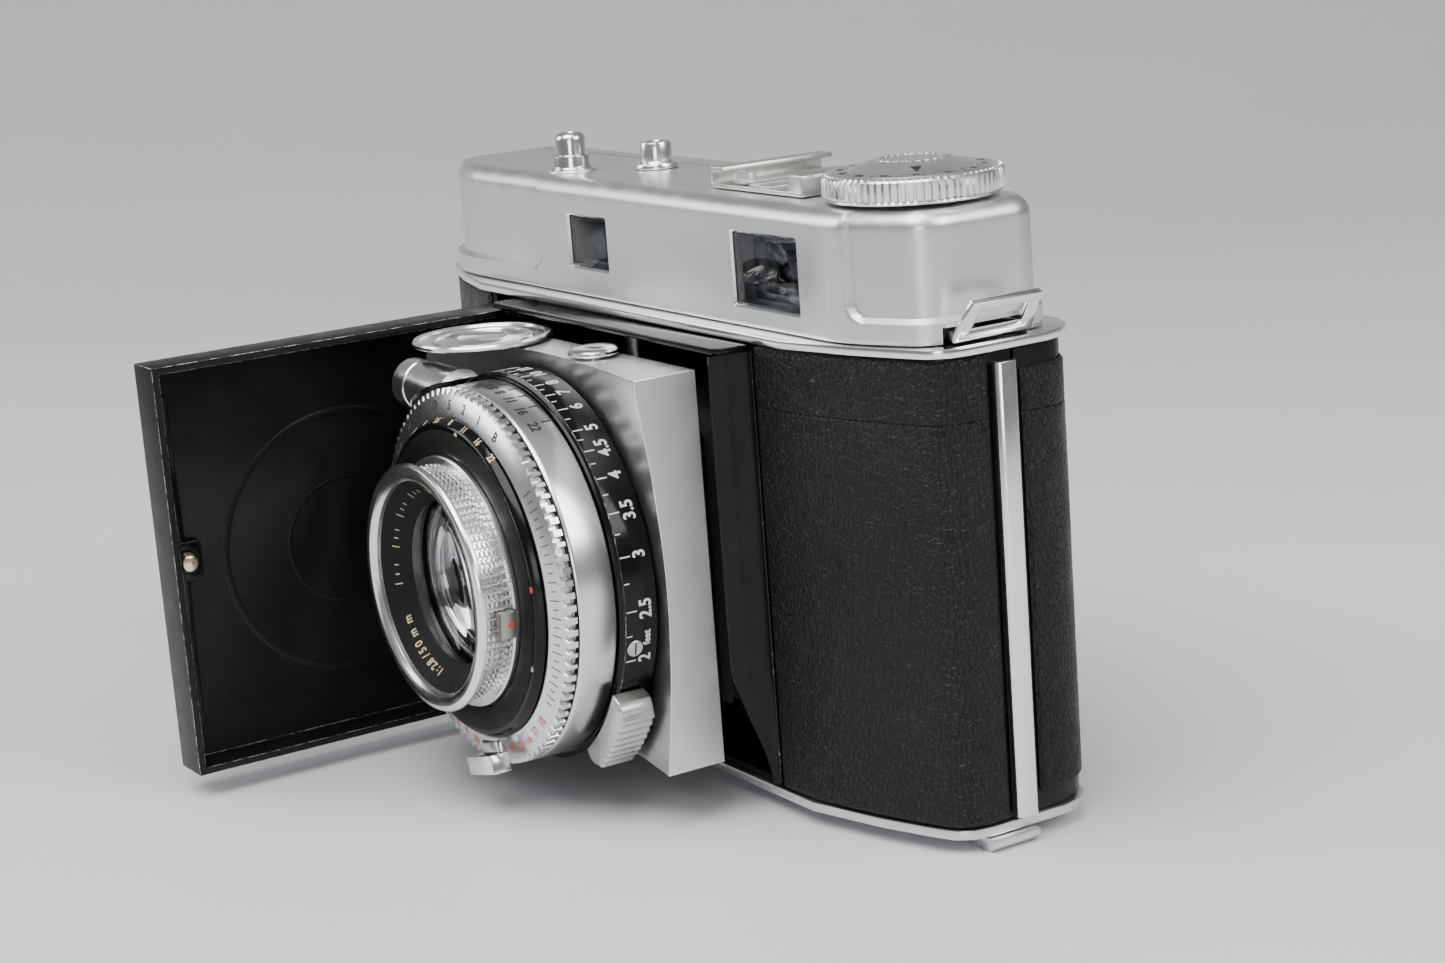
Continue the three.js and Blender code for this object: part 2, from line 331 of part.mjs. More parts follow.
// flash contact on the shutter's upper left
{
  let s = turnX([[0, -19.0], [0, -18.0], [1.0, -17.6], [2.7, -17.6], [2.7, -19.6], [3.4, -19.6], [3.6, -18.8], [3.6, -5], [0, -5]], -37.6, 55.4, 28);
  s = s.subtract(cylY(0, AXIS_Z, 26.6, -60, 0, 64));
  s = s.subtract(box(-30, 0, -60, 0, 60.5, 80));
  add('sync_socket', s, POLISH);
}
// delayed-action lever with a coloured tip, at the shutter's lower left
{
  const pts = [[-18.9, 12.3], [-20.2, 9.3], [-21.8, 9.2], [-22.6, 10.4], [-20.4, 13.5]];
  add('timer_lever', exY(pts, -38.9, -37.9), STEEL);
}

// ------------------------------------------------------------------- the back
{
  let s = skin(0.65, 1.6, BODY_Z0 + 0.1, BODY_Z1 - 0.1);
  s = s.intersect(box(-70, 70, 3.6, 20, 0, 70));
  s = s.subtract(box(-70, -61.6, -20, 9.2, 0, 70));
  // top and bottom rims
  const lid = exZ(outline(0.65), BODY_Z0 + 0.1, BODY_Z1 - 0.1).intersect(box(-58, 61, 10.6, 20, 0, 70)).subtract(box(-70, 70, -20, 20, 4.7, 61.8));
  s = s.add(lid);
  // knuckle round the hinge pin
  s = s.add(cylZ(BACK_AXIS[0], BACK_AXIS[1], 1.9, 9.0, 58.0, 20)).add(box(-63.0, -61.6, 8.8, 11.0, 9.0, 58.0));
  s = s.subtract(cylZ(BACK_AXIS[0], BACK_AXIS[1], 1.1, 0, 70, 20));
  add('back_door', s, BLACK);
  const l = skin(0, 0.45, 5.8, 60.6).intersect(box(-59.0, 70, 3.9, 20, 0, 70));
  add('back_leather', l, LEATHER);
}
add('back_hinge_pin', cylZ(BACK_AXIS[0], BACK_AXIS[1], 0.8, 3.4, 63.1, 16), STEEL);
add('pressure_plate', box(-27, 27, FILM_Y + 0.35, FILM_Y + 0.95, 14.5, 48.5), BLACK);

export default camera;
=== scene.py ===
# Looks for the folding rangefinder camera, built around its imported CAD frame.
import json
import math
import bpy
import bmesh
import numpy as np
from mathutils import Matrix, Vector, noise


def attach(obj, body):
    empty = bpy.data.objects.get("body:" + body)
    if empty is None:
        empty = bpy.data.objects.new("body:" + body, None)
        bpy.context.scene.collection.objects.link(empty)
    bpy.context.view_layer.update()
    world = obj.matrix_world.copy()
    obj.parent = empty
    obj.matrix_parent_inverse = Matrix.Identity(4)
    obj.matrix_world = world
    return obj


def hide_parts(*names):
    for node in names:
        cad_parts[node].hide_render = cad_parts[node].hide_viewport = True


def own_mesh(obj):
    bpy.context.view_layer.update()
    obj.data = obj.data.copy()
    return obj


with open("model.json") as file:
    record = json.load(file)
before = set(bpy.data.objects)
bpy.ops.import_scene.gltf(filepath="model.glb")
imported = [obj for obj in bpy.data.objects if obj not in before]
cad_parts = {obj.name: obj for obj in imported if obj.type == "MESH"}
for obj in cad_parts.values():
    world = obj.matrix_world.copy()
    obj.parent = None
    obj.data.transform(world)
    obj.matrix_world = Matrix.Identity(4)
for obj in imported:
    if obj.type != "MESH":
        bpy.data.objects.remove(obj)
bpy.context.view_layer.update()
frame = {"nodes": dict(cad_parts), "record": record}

NODES = frame["nodes"]
PI = math.pi
# millimetres, body-centred: X from the body's middle, Y from the middle of its depth, Z from the floor
OX, OY = 0.0, 28.375
AX = 31.55


def m(x, y, z):
    return ((x + OX) / 1000.0, (y + OY) / 1000.0, z / 1000.0)


# ------------------------------------------------------------------ materials
class Mat:
    """One Principled material with its node tree at hand."""

    def __init__(self, name, base, rough, metal=0.0, **kw):
        self.m = bpy.data.materials.new(name)
        self.m.use_nodes = True
        self.t = self.m.node_tree
        self.b = self.t.nodes["Principled BSDF"]
        self.b.inputs["Base Color"].default_value = (*base, 1)
        self.b.inputs["Roughness"].default_value = rough
        self.b.inputs["Metallic"].default_value = metal
        for k, v in kw.items():
            self.b.inputs[k.replace("_", " ")].default_value = v
        self.co = self.t.nodes.new("ShaderNodeTexCoord")
        self.height = None

    def node(self, kind, **kw):
        n = self.t.nodes.new(kind)
        for k, v in kw.items():
            setattr(n, k, v)
        return n

    def link(self, a, b):
        self.t.links.new(a, b)

    def coords(self, scale=(1, 1, 1)):
        mp = self.node("ShaderNodeMapping")
        mp.inputs["Scale"].default_value = scale
        self.link(self.co.outputs["Object"], mp.inputs["Vector"])
        return mp.outputs["Vector"]

    def noise(self, scale, detail=4, rough=0.55, stretch=(1, 1, 1), dist=0.0):
        n = self.node("ShaderNodeTexNoise")
        n.inputs["Scale"].default_value = scale
        n.inputs["Detail"].default_value = detail
        n.inputs["Roughness"].default_value = rough
        n.inputs["Distortion"].default_value = dist
        self.link(self.coords(stretch), n.inputs["Vector"])
        return n.outputs["Fac"]

    def voronoi(self, scale, feature="F1", rand=1.0, stretch=(1, 1, 1)):
        n = self.node("ShaderNodeTexVoronoi", feature=feature)
        n.inputs["Scale"].default_value = scale
        n.inputs["Randomness"].default_value = rand
        self.link(self.coords(stretch), n.inputs["Vector"])
        return n.outputs["Distance"]

    def ramp(self, fac, stops):
        r = self.node("ShaderNodeValToRGB")
        while len(r.color_ramp.elements) > 1:
            r.color_ramp.elements.remove(r.color_ramp.elements[-1])
        for i, (p, c) in enumerate(stops):
            e = r.color_ramp.elements[0] if i == 0 else r.color_ramp.elements.new(p)
            e.position = p
            e.color = (*c, 1) if len(c) == 3 else c
        self.link(fac, r.inputs["Fac"])
        return r.outputs["Color"]

    def grey(self, fac, stops):
        return self.ramp(fac, [(p, (v, v, v)) for p, v in stops])

    def mix(self, fac, a, b, mode="MIX"):
        n = self.node("ShaderNodeMix", data_type="RGBA", blend_type=mode)
        for sock, v in (("Factor", fac), ("A", a), ("B", b)):
            s = [i for i in n.inputs if i.name == sock and (i.type == "RGBA" or sock == "Factor" and i.type == "VALUE")][0]
            if isinstance(v, bpy.types.NodeSocket):
                self.link(v, s)
            elif sock == "Factor":
                s.default_value = v
            else:
                s.default_value = (*v, 1)
        return [o for o in n.outputs if o.type == "RGBA"][0]

    def math(self, op, a, b=None, clamp=False):
        n = self.node("ShaderNodeMath", operation=op, use_clamp=clamp)
        for i, v in enumerate((a, b)):
            if v is None:
                continue
            if isinstance(v, bpy.types.NodeSocket):
                self.link(v, n.inputs[i])
            else:
                n.inputs[i].default_value = v
        return n.outputs[0]

    def colour(self, c):
        self.link(c, self.b.inputs["Base Color"])

    def rough(self, c):
        self.link(c, self.b.inputs["Roughness"])

    def bump(self, height, strength, distance):
        n = self.node("ShaderNodeBump")
        n.inputs["Strength"].default_value = strength
        n.inputs["Distance"].default_value = distance
        self.link(height, n.inputs["Height"])
        if self.height is not None:
            self.link(self.height, n.inputs["Normal"])
        self.height = n.outputs["Normal"]
        self.link(self.height, self.b.inputs["Normal"])

    def edge(self, lo=0.52, hi=0.58):
        g = self.node("ShaderNodeNewGeometry")
        return self.grey(g.outputs["Pointiness"], [(lo, 0.0), (hi, 1.0)])


def chrome(name, base, rough, grain=0.10, brush=None, grime=0.25, tint=(0.86, 0.84, 0.82)):
    k = Mat(name, base, rough, 1.0)
    cloud = k.noise(60, 5, 0.6)
    fine = k.noise(3600, 3, 0.6)
    spots = k.noise(900, 5, 0.75)
    stain = k.grey(spots, [(0.62, 0.0), (0.74, grime)])
    c = k.mix(k.grey(cloud, [(0.3, 0.0), (0.75, 1.0)]), tuple(v * 0.965 for v in base), tuple(min(1, v * 1.03) for v in base))
    k.colour(k.mix(stain, c, tuple(v * 0.55 * w for v, w in zip(base, tint))))
    k.rough(k.grey(k.noise(240, 4, 0.65), [(0.25, max(0.03, rough - grain)), (0.8, rough + grain)]))
    if brush:
        k.bump(k.noise(900, 2, 0.5, stretch=brush), 0.18, 0.00004)
    k.bump(fine, 0.08, 0.00001)
    return k.m


SATIN = chrome("satin_chrome_mat", (0.70, 0.70, 0.715), 0.36, 0.07, grime=0.18)
HOUSE = chrome("housing_chrome_mat", (0.74, 0.74, 0.745), 0.34, 0.06, brush=(1, 1, 0.03), grime=0.22)
TURNED = chrome("turned_chrome_mat", (0.76, 0.76, 0.77), 0.25, 0.012, grime=0.0)
KNURL = chrome("knurled_chrome_mat", (0.80, 0.80, 0.80), 0.24, 0.02, grime=0.1)
POLISH = chrome("polished_chrome_mat", (0.84, 0.84, 0.845), 0.19, 0.06, grime=0.25)
WORN = chrome("worn_steel_mat", (0.60, 0.585, 0.56), 0.34, 0.12, grime=0.9, tint=(0.8, 0.7, 0.6))
BRASS = chrome("worn_brass_mat", (0.78, 0.68, 0.50), 0.26, 0.08, grime=0.4)


def lacquer(name, base, rough, wear=0.0, metal=(0.62, 0.61, 0.60), dust=0.0):
    k = Mat(name, base, rough)
    k.b.inputs["Specular IOR Level"].default_value = 0.24
    tone = k.mix(k.grey(k.noise(90, 5, 0.6), [(0.35, 0.0), (0.7, 1.0)]), tuple(v * 0.75 for v in base), tuple(v * 1.5 for v in base))
    if dust:
        tone = k.mix(k.grey(k.noise(2600, 2, 0.5), [(0.70, 0.0), (0.76, dust)]), tone, (0.5, 0.49, 0.47))
    if wear:
        brk = k.noise(700, 4, 0.7)
        mask = k.math("MULTIPLY", k.edge(0.515, 0.56), k.grey(brk, [(0.5 - wear * 0.35, 0.0), (0.62 - wear * 0.2, 1.0)]), True)
        tone = k.mix(mask, tone, metal)
        k.link(mask, k.b.inputs["Metallic"])
    k.colour(tone)
    k.rough(k.grey(k.noise(300, 4, 0.6), [(0.25, max(0.05, rough - 0.08)), (0.8, rough + 0.12)]))
    k.bump(k.noise(1500, 3, 0.6), 0.12, 0.00004)
    return k.m


BLACK = lacquer("black_lacquer_mat", (0.0035, 0.0035, 0.004), 0.34, dust=0.05)
EDGED = lacquer("black_lacquer_worn_mat", (0.0035, 0.0035, 0.004), 0.34, dust=0.06)
GLOSS = lacquer("black_gloss_mat", (0.0025, 0.0025, 0.003), 0.17, dust=0.02)
MATTE = lacquer("black_matt_mat", (0.002, 0.002, 0.002), 0.55, dust=0.03)


def leather(name):
    k = Mat(name, (0.006, 0.006, 0.0065), 0.4)
    k.b.inputs["Specular IOR Level"].default_value = 0.25
    pebble = k.grey(k.voronoi(1600, "DISTANCE_TO_EDGE", 1.0, stretch=(1, 1, 0.62)), [(0.0, 0.0), (0.10, 0.7), (0.35, 1.0)])
    fold = k.noise(700, 5, 0.7, stretch=(1, 1, 0.7), dist=1.2)
    k.colour(k.mix(k.grey(k.noise(45, 4, 0.6), [(0.3, 0.0), (0.75, 1.0)]), (0.0035, 0.0035, 0.004), (0.010, 0.0098, 0.0096)))
    k.rough(k.grey(k.noise(260, 4, 0.6), [(0.25, 0.30), (0.8, 0.52)]))
    k.bump(fold, 0.6, 0.0003)
    k.bump(pebble, 0.9, 0.00022)
    k.bump(k.noise(5200, 3, 0.6), 0.3, 0.00004)
    return k.m


LEATHER = leather("leather_mat")


def cloth(name):
    k = Mat(name, (0.010, 0.010, 0.010), 0.7)
    k.colour(k.mix(k.noise(400, 4, 0.6), (0.006, 0.006, 0.006), (0.018, 0.018, 0.018)))
    k.bump(k.noise(2500, 4, 0.7), 0.5, 0.00006)
    return k.m


CLOTH = cloth("bellows_mat")


def glass(name, tint, rough=0.02, ior=1.5, coat=0.0, coat_tint=(0.6, 0.5, 1.0)):
    k = Mat(name, tint, rough, 0.0)
    k.b.inputs["Transmission Weight"].default_value = 1.0
    k.b.inputs["IOR"].default_value = ior
    if coat:
        k.b.inputs["Coat Weight"].default_value = coat
        k.b.inputs["Coat Roughness"].default_value = 0.02
        k.b.inputs["Coat Tint"].default_value = (*coat_tint, 1)
    k.rough(k.grey(k.noise(300, 3, 0.6), [(0.3, rough * 0.5), (0.8, rough * 2.5)]))
    return k.m


PANE = glass("window_glass_mat", (0.80, 0.84, 0.88), 0.02, 1.22)
LENS = glass("lens_glass_mat", (0.95, 0.955, 0.965), 0.008, 1.52)


def paint(name, base, rough=0.45):
    k = Mat(name, base, rough)
    k.colour(k.mix(k.grey(k.noise(1500, 4, 0.6), [(0.35, 0.0), (0.75, 1.0)]), tuple(v * 0.72 for v in base), base))
    k.bump(k.noise(3000, 2, 0.5), 0.2, 0.00002)
    return k.m


WHITE = paint("engraving_white_mat", (0.78, 0.77, 0.72))
CREAM = paint("engraving_cream_mat", (0.66, 0.55, 0.32))
INK = paint("engraving_black_mat", (0.015, 0.015, 0.016))
RED = paint("engraving_red_mat", (0.62, 0.05, 0.05))
ORANGE = paint("engraving_orange_mat", (0.66, 0.19, 0.10))
GREEN = paint("lever_tip_green_mat", (0.02, 0.22, 0.10))
TAB = chrome("index_tab_mat", (0.36, 0.38, 0.33), 0.42, 0.06, grime=0.3)
DUSK = lacquer("finder_dark_mat", (0.004, 0.0042, 0.005), 0.4, dust=0.10)
GREYLENS = lacquer("finder_grey_mat", (0.022, 0.026, 0.032), 0.25, dust=0.12)


# ------------------------------------------------------------ geometry helpers
def fillet(pts, r, seg=3, closed=True):
    """Rounds the corners of a 2-D outline. r is one radius, or one for each corner."""
    n = len(pts)
    rs = r if isinstance(r, (list, tuple)) else [r] * n
    out = []
    for i, p in enumerate(pts):
        if not closed and i in (0, n - 1) or rs[i] <= 0:
            out.append(p)
            continue
        a, b = pts[(i - 1) % n], pts[(i + 1) % n]
        va, vb = (a[0] - p[0], a[1] - p[1]), (b[0] - p[0], b[1] - p[1])
        la, lb = math.hypot(*va), math.hypot(*vb)
        if la < 1e-9 or lb < 1e-9:
            out.append(p)
            continue
        d = min(rs[i], la * 0.48, lb * 0.48)
        s, e = (p[0] + va[0] / la * d, p[1] + va[1] / la * d), (p[0] + vb[0] / lb * d, p[1] + vb[1] / lb * d)
        for j in range(seg + 1):
            t = j / seg
            out.append(((1 - t) ** 2 * s[0] + 2 * t * (1 - t) * p[0] + t * t * e[0], (1 - t) ** 2 * s[1] + 2 * t * (1 - t) * p[1] + t * t * e[1]))
    return out


def offset(pts, d):
    """Closed outline moved inwards by d (outline drawn counter-clockwise)."""
    n = len(pts)
    out = []
    for i, p in enumerate(pts):
        a, b = pts[i - 1], pts[(i + 1) % n]
        e1, e2 = Vector((p[0] - a[0], p[1] - a[1])), Vector((b[0] - p[0], b[1] - p[1]))
        if e1.length < 1e-9:
            e1 = e2
        if e2.length < 1e-9:
            e2 = e1
        e1, e2 = e1.normalized(), e2.normalized()
        n1, n2 = Vector((-e1.y, e1.x)), Vector((-e2.y, e2.x))
        mm = n1 + n2
        mm = mm.normalized() if mm.length > 1e-6 else n1
        k = d / max(0.5, mm.dot(n1))
        out.append((p[0] + mm.x * k, p[1] + mm.y * k))
    return out


def resample(pts, step, closed=True):
    q = list(pts) + ([pts[0]] if closed else [])
    seg = [math.dist(q[i], q[i + 1]) for i in range(len(q) - 1)]
    total = sum(seg)
    n = max(3, round(total / step))
    out, i, acc = [], 0, 0.0
    for k in range(n if closed else n + 1):
        s = total * k / n
        while i < len(seg) - 1 and acc + seg[i] < s:
            acc += seg[i]
            i += 1
        t = (s - acc) / seg[i] if seg[i] > 1e-12 else 0
        out.append((q[i][0] + (q[i + 1][0] - q[i][0]) * t, q[i][1] + (q[i + 1][1] - q[i][1]) * t))
    return out


def make(name, verts, faces, mat, body, replaces=(), sharp=32, merge=0.0008, raw=False):
    me = bpy.data.meshes.new(name)
    me.from_pydata([m(*v) for v in verts], [], faces)
    bm = bmesh.new()
    bm.from_mesh(me)
    bmesh.ops.remove_doubles(bm, verts=bm.verts, dist=merge / 1000.0)
    bmesh.ops.dissolve_degenerate(bm, edges=bm.edges, dist=1e-7)
    if not raw:
        bmesh.ops.recalc_face_normals(bm, faces=bm.faces)
    bm.to_mesh(me)
    bm.free()
    return finish_mesh(name, me, mat, body, replaces, sharp)


def finish_mesh(name, me, mat, body, replaces=(), sharp=32):
    for p in me.polygons:
        p.use_smooth = True
    me.set_sharp_from_angle(angle=math.radians(sharp))
    if not me.materials:
        me.materials.append(mat)
    ob = bpy.data.objects.new(name, me)
    bpy.context.scene.collection.objects.link(ob)
    if body:
        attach(ob, body)
    if replaces:
        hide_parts(*replaces)
    return ob


def lathe_vf(prof, axis, c, n=128, rmod=None, t0=0.0, t1=None, closed=False):
    verts, faces = [], []
    full = t1 is None
    cnt = n if full else n + 1
    for i, (r, a) in enumerate(prof):
        for k in range(cnt):
            t = (2 * PI * k / n) if full else t0 + (t1 - t0) * k / n
            rr = rmod(i, r, a, t) if rmod else r
            co, si = rr * math.cos(t), rr * math.sin(t)
            if axis == "Y":
                verts.append((c[0] + co, a, c[1] + si))
            elif axis == "Z":
                verts.append((c[0] + co, c[1] + si, a))
            else:
                verts.append((a, c[0] + co, c[1] + si))
    rows = len(prof)
    last = rows if closed else rows - 1
    for i in range(last):
        j = (i + 1) % rows
        for k in range(n):
            k2 = (k + 1) % cnt if full else k + 1
            faces.append((i * cnt + k, i * cnt + k2, j * cnt + k2, j * cnt + k))
    if not full and closed:
        faces.append(tuple(i * cnt for i in range(rows)))
        faces.append(tuple(i * cnt + n for i in reversed(range(rows))))
    return verts, faces


def lathe(name, prof, axis, c, mat, body, slot, replaces=(), n=128, rmod=None, sharp=32, closed=False, **kw):
    v, f = lathe_vf(prof, axis, c, n, rmod, closed=closed, **kw)
    return make(name, v, f, mat, body, replaces, sharp)


def loops(rings, caps=(True, True)):
    """Closed rings of points, each of the same count, joined in order; end caps as faces."""
    n = len(rings[0])
    verts = [p for r in rings for p in r]
    faces = []
    for i in range(len(rings) - 1):
        for k in range(n):
            k2 = (k + 1) % n
            faces.append((i * n + k, i * n + k2, (i + 1) * n + k2, (i + 1) * n + k))
    if caps[0]:
        faces.append(tuple(reversed(range(n))))
    if caps[1]:
        faces.append(tuple((len(rings) - 1) * n + k for k in range(n)))
    return verts, faces


def plate(name, outline, plane, levels, mat, body, replaces=(), sharp=32):
    """Outline lofted through levels of (inset, position along the third axis), capped."""
    def put(p, a):
        return {"XY": (p[0], p[1], a), "XZ": (p[0], a, p[1]), "YZ": (a, p[0], p[1])}[plane]
    rings = [[put(p, a) for p in offset(outline, d)] for d, a in levels]
    v, f = loops(rings)
    return make(name, v, f, mat, body, replaces, sharp)


def slab(outline, plane, a0, a1, r=0.3, seg=2):
    """Levels of a slab with rounded edges."""
    out = []
    for j in range(seg + 1):
        t = PI / 2 * j / seg
        out.append((r * (1 - math.sin(t)), a0 + r * (1 - math.cos(t))))
    for j in range(seg + 1):
        t = PI / 2 * (1 - j / seg)
        out.append((r * (1 - math.sin(t)), a1 - r * (1 - math.cos(t))))
    return out


def rslab(name, outline, plane, a0, a1, mat, body, replaces=(), r=0.3, seg=2, sharp=32):
    return plate(name, outline, plane, slab(outline, plane, a0, a1, r, seg), mat, body, replaces, sharp)


def bevelled(ob, width, seg=2, angle=30):
    mod = ob.modifiers.new("bevel", "BEVEL")
    mod.width = width / 1000.0
    mod.segments = seg
    mod.limit_method = "ANGLE"
    mod.angle_limit = math.radians(angle)
    mod.use_clamp_overlap = True
    bake(ob)
    return ob


def bake(ob, sharp=32):
    bpy.context.view_layer.update()
    dg = bpy.context.evaluated_depsgraph_get()
    me = bpy.data.meshes.new_from_object(ob.evaluated_get(dg))
    old = ob.data
    ob.modifiers.clear()
    ob.data = me
    me.name = ob.name
    for p in me.polygons:
        p.use_smooth = True
    me.set_sharp_from_angle(angle=math.radians(sharp))
    return ob


def cut(ob, cutters, op="DIFFERENCE", sharp=32):
    for c in cutters:
        mod = ob.modifiers.new("cut", "BOOLEAN")
        mod.operation = op
        mod.solver = "EXACT"
        mod.object = c
    bake(ob, sharp)
    for c in cutters:
        bpy.data.objects.remove(c)
    return ob


def tool(v, f, name="tool"):
    return make(name, v, f, BLACK, None)


def rrect(x0, x1, y0, y1, r, seg=5):
    return fillet([(x0, y0), (x1, y0), (x1, y1), (x0, y1)], r, seg)


def tool_box(x0, x1, y0, y1, z0, z1, r=0.0, plane="XZ"):
    if plane == "XZ":
        o = rrect(x0, x1, z0, z1, r) if r else [(x0, z0), (x1, z0), (x1, z1), (x0, z1)]
        v, f = loops([[(p[0], y, p[1]) for p in o] for y in (y0, y1)])
    elif plane == "XY":
        o = rrect(x0, x1, y0, y1, r) if r else [(x0, y0), (x1, y0), (x1, y1), (x0, y1)]
        v, f = loops([[(p[0], p[1], z) for p in o] for z in (z0, z1)])
    else:
        o = rrect(y0, y1, z0, z1, r) if r else [(y0, z0), (y1, z0), (y1, z1), (y0, z1)]
        v, f = loops([[(x, p[0], p[1]) for p in o] for x in (x0, x1)])
    return tool(v, f)


def tool_cyl(axis, c, r, a0, a1, n=64):
    return tool(*lathe_vf([(0, a0), (r, a0), (r, a1), (0, a1)], axis, c, n))


def smooth(x, a, b):
    t = min(1.0, max(0.0, (x - a) / (b - a)))
    return t * t * (3 - 2 * t)


_glyphs = {}


def glyph(text, size, thick=0.05, squeeze=1.0):
    key = (text, size, thick, squeeze)
    if key not in _glyphs:
        cu = bpy.data.curves.new("glyph", "FONT")
        cu.body, cu.size, cu.extrude, cu.offset = text, size, thick / 2, size * 0.022
        cu.align_x, cu.align_y = "CENTER", "CENTER"
        cu.resolution_u = 3
        ob = bpy.data.objects.new("glyph", cu)
        bpy.context.scene.collection.objects.link(ob)
        bpy.context.view_layer.update()
        me = bpy.data.meshes.new_from_object(ob.evaluated_get(bpy.context.evaluated_depsgraph_get()))
        _glyphs[key] = ([(v.co.x * squeeze, v.co.y, v.co.z) for v in me.vertices], [tuple(p.vertices) for p in me.polygons])
        bpy.data.objects.remove(ob)
        bpy.data.curves.remove(cu)
        bpy.data.meshes.remove(me)
    return _glyphs[key]


def bar(w, h, thick=0.05, n=4):
    """A thin bar w wide (along the reading direction) and h tall, cut into n along its width."""
    v, f = [], []
    for k in range(n + 1):
        u = -w / 2 + w * k / n
        v += [(u, -h / 2, -thick / 2), (u, h / 2, -thick / 2), (u, h / 2, thick / 2), (u, -h / 2, thick / 2)]
    for k in range(n):
        a, b = k * 4, (k + 1) * 4
        for i in range(4):
            j = (i + 1) % 4
            f.append((a + i, b + i, b + j, a + j))
    f += [(0, 1, 2, 3), (n * 4 + 3, n * 4 + 2, n * 4 + 1, n * 4)]
    return v, f


def dot(r, thick=0.08, n=20):
    v = [(r * math.cos(2 * PI * k / n), r * math.sin(2 * PI * k / n), s) for s in (-thick / 2, thick / 2) for k in range(n)]
    f = [tuple(reversed(range(n))), tuple(range(n, 2 * n))] + [(k, (k + 1) % n, n + (k + 1) % n, n + k) for k in range(n)]
    return v, f


def wrap(name, items, mat, body, c=(0.0, AX)):
    """Engraved marks on a ring about Y. Each item: (verts, faces), angle, (r, y) at its middle, unit step (dr, dy) of its 'up', turn sense."""
    V, F = [], []
    for (vs, fs), t0, (r0, y0), (dr, dy), sense in items:
        nr, ny = (-dy, dr) if sense > 0 else (dy, -dr)
        if sense > 0 and nr < 0 or sense < 0 and ny > 0:
            nr, ny = -nr, -ny
        base = len(V)
        for u, v, w in vs:
            r, y = r0 + v * dr + w * nr, y0 + v * dy + w * ny
            t = t0 + sense * u / r0
            V.append((c[0] + r * math.cos(t), y, c[1] + r * math.sin(t)))
        F += [tuple(base + i for i in f) for f in fs]
    return make(name, V, F, mat, body, merge=0.00005, sharp=40)


def carried(node, mat):
    ob = NODES[node]
    ob.data.materials.clear()
    ob.data.materials.append(mat)
    for p in ob.data.polygons:
        p.material_index = 0
        p.use_smooth = True
    ob.data.set_sharp_from_angle(angle=math.radians(28))


def hide(node, piece):
    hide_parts(node)


# ------------------------------------------------------------------ camera, light, floor
def look_from(loc, target, size, energy, colour=(1, 1, 1), size_y=None):
    li = bpy.data.lights.new("area", "AREA")
    li.shape = "RECTANGLE"
    li.size, li.size_y = size, size_y or size
    li.energy = energy
    li.color = colour
    ob = bpy.data.objects.new("area", li)
    bpy.context.scene.collection.objects.link(ob)
    ob.location = loc
    ob.rotation_mode = "QUATERNION"
    ob.rotation_quaternion = (Vector(target) - Vector(loc)).to_track_quat("-Z", "Y")
    return ob


cam_data = bpy.data.cameras.new("camera")
cam = bpy.data.objects.new("camera", cam_data)
bpy.context.scene.collection.objects.link(cam)
cam_data.sensor_width = 36.0
cam_data.lens = 68.75
cam_data.clip_start, cam_data.clip_end = 0.01, 20.0
_r, _u, _k = (0.538538, 0.839429, -0.073046), (-0.150710, 0.181255, 0.971820), (0.829013, -0.512353, 0.224123)
cam.matrix_world = Matrix(((_r[0], _u[0], _k[0], 0.325179), (_r[1], _u[1], _k[1], -0.172999), (_r[2], _u[2], _k[2], 0.125176), (0, 0, 0, 1)))
bpy.context.scene.camera = cam

world = bpy.data.worlds.new("world")
bpy.context.scene.world = world
world.use_nodes = True
wt = world.node_tree
wco = wt.nodes.new("ShaderNodeTexCoord")
wsep = wt.nodes.new("ShaderNodeSeparateXYZ")
wramp = wt.nodes.new("ShaderNodeValToRGB")
wt.links.new(wco.outputs["Generated"], wsep.inputs["Vector"])
wt.links.new(wsep.outputs["Z"], wramp.inputs["Fac"])
wramp.color_ramp.elements[0].position, wramp.color_ramp.elements[0].color = 0.0, (0.42, 0.43, 0.45, 1)
wramp.color_ramp.elements[1].position, wramp.color_ramp.elements[1].color = 0.75, (1.0, 1.0, 1.0, 1)
wt.links.new(wramp.outputs["Color"], wt.nodes["Background"].inputs["Color"])
wt.nodes["Background"].inputs["Strength"].default_value = 0.42
look_from((0.16, -0.30, 0.80), (0.0, 0.02, 0.04), 0.70, 11.0, (1.0, 0.99, 0.975))
look_from((0.60, 0.28, 0.50), (0.02, 0.02, 0.04), 0.42, 4.2, (1.0, 0.985, 0.96))
look_from((-0.55, -0.50, 0.42), (0.0, -0.02, 0.04), 0.45, 3.4, (0.94, 0.965, 1.0))
look_from((0.70, -0.52, 0.20), (0.03, 0.0, 0.04), 0.26, 1.2, (0.97, 0.98, 1.0))

floor_mat = Mat("floor_mat", (0.62, 0.625, 0.635), 0.5)
floor_mat.colour(floor_mat.mix(floor_mat.noise(6, 3, 0.5), (0.56, 0.57, 0.59), (0.64, 0.65, 0.67)))
fv, ff = [], []
_back = Vector((-0.829013, 0.512353, 0)).normalized()
_side = Vector((-_back.y, _back.x, 0))
prof = [(-1.6, 0.0), (0.45, 0.0)] + [(0.45 + 0.9 * math.sin(a), 0.9 - 0.9 * math.cos(a)) for a in [PI / 2 * i / 16 for i in range(1, 17)]] + [(1.35, 3.2)]
for d, z in prof:
    for s in (-3.0, 3.0):
        p = _back * d + _side * s
        fv.append((p.x, p.y, z - 0.00001))
for i in range(len(prof) - 1):
    ff.append((2 * i, 2 * i + 1, 2 * i + 3, 2 * i + 2))
fm = bpy.data.meshes.new("floor")
fm.from_pydata(fv, [], ff)
for p in fm.polygons:
    p.use_smooth = True
fm.materials.append(floor_mat.m)
floor = bpy.data.objects.new("floor", fm)
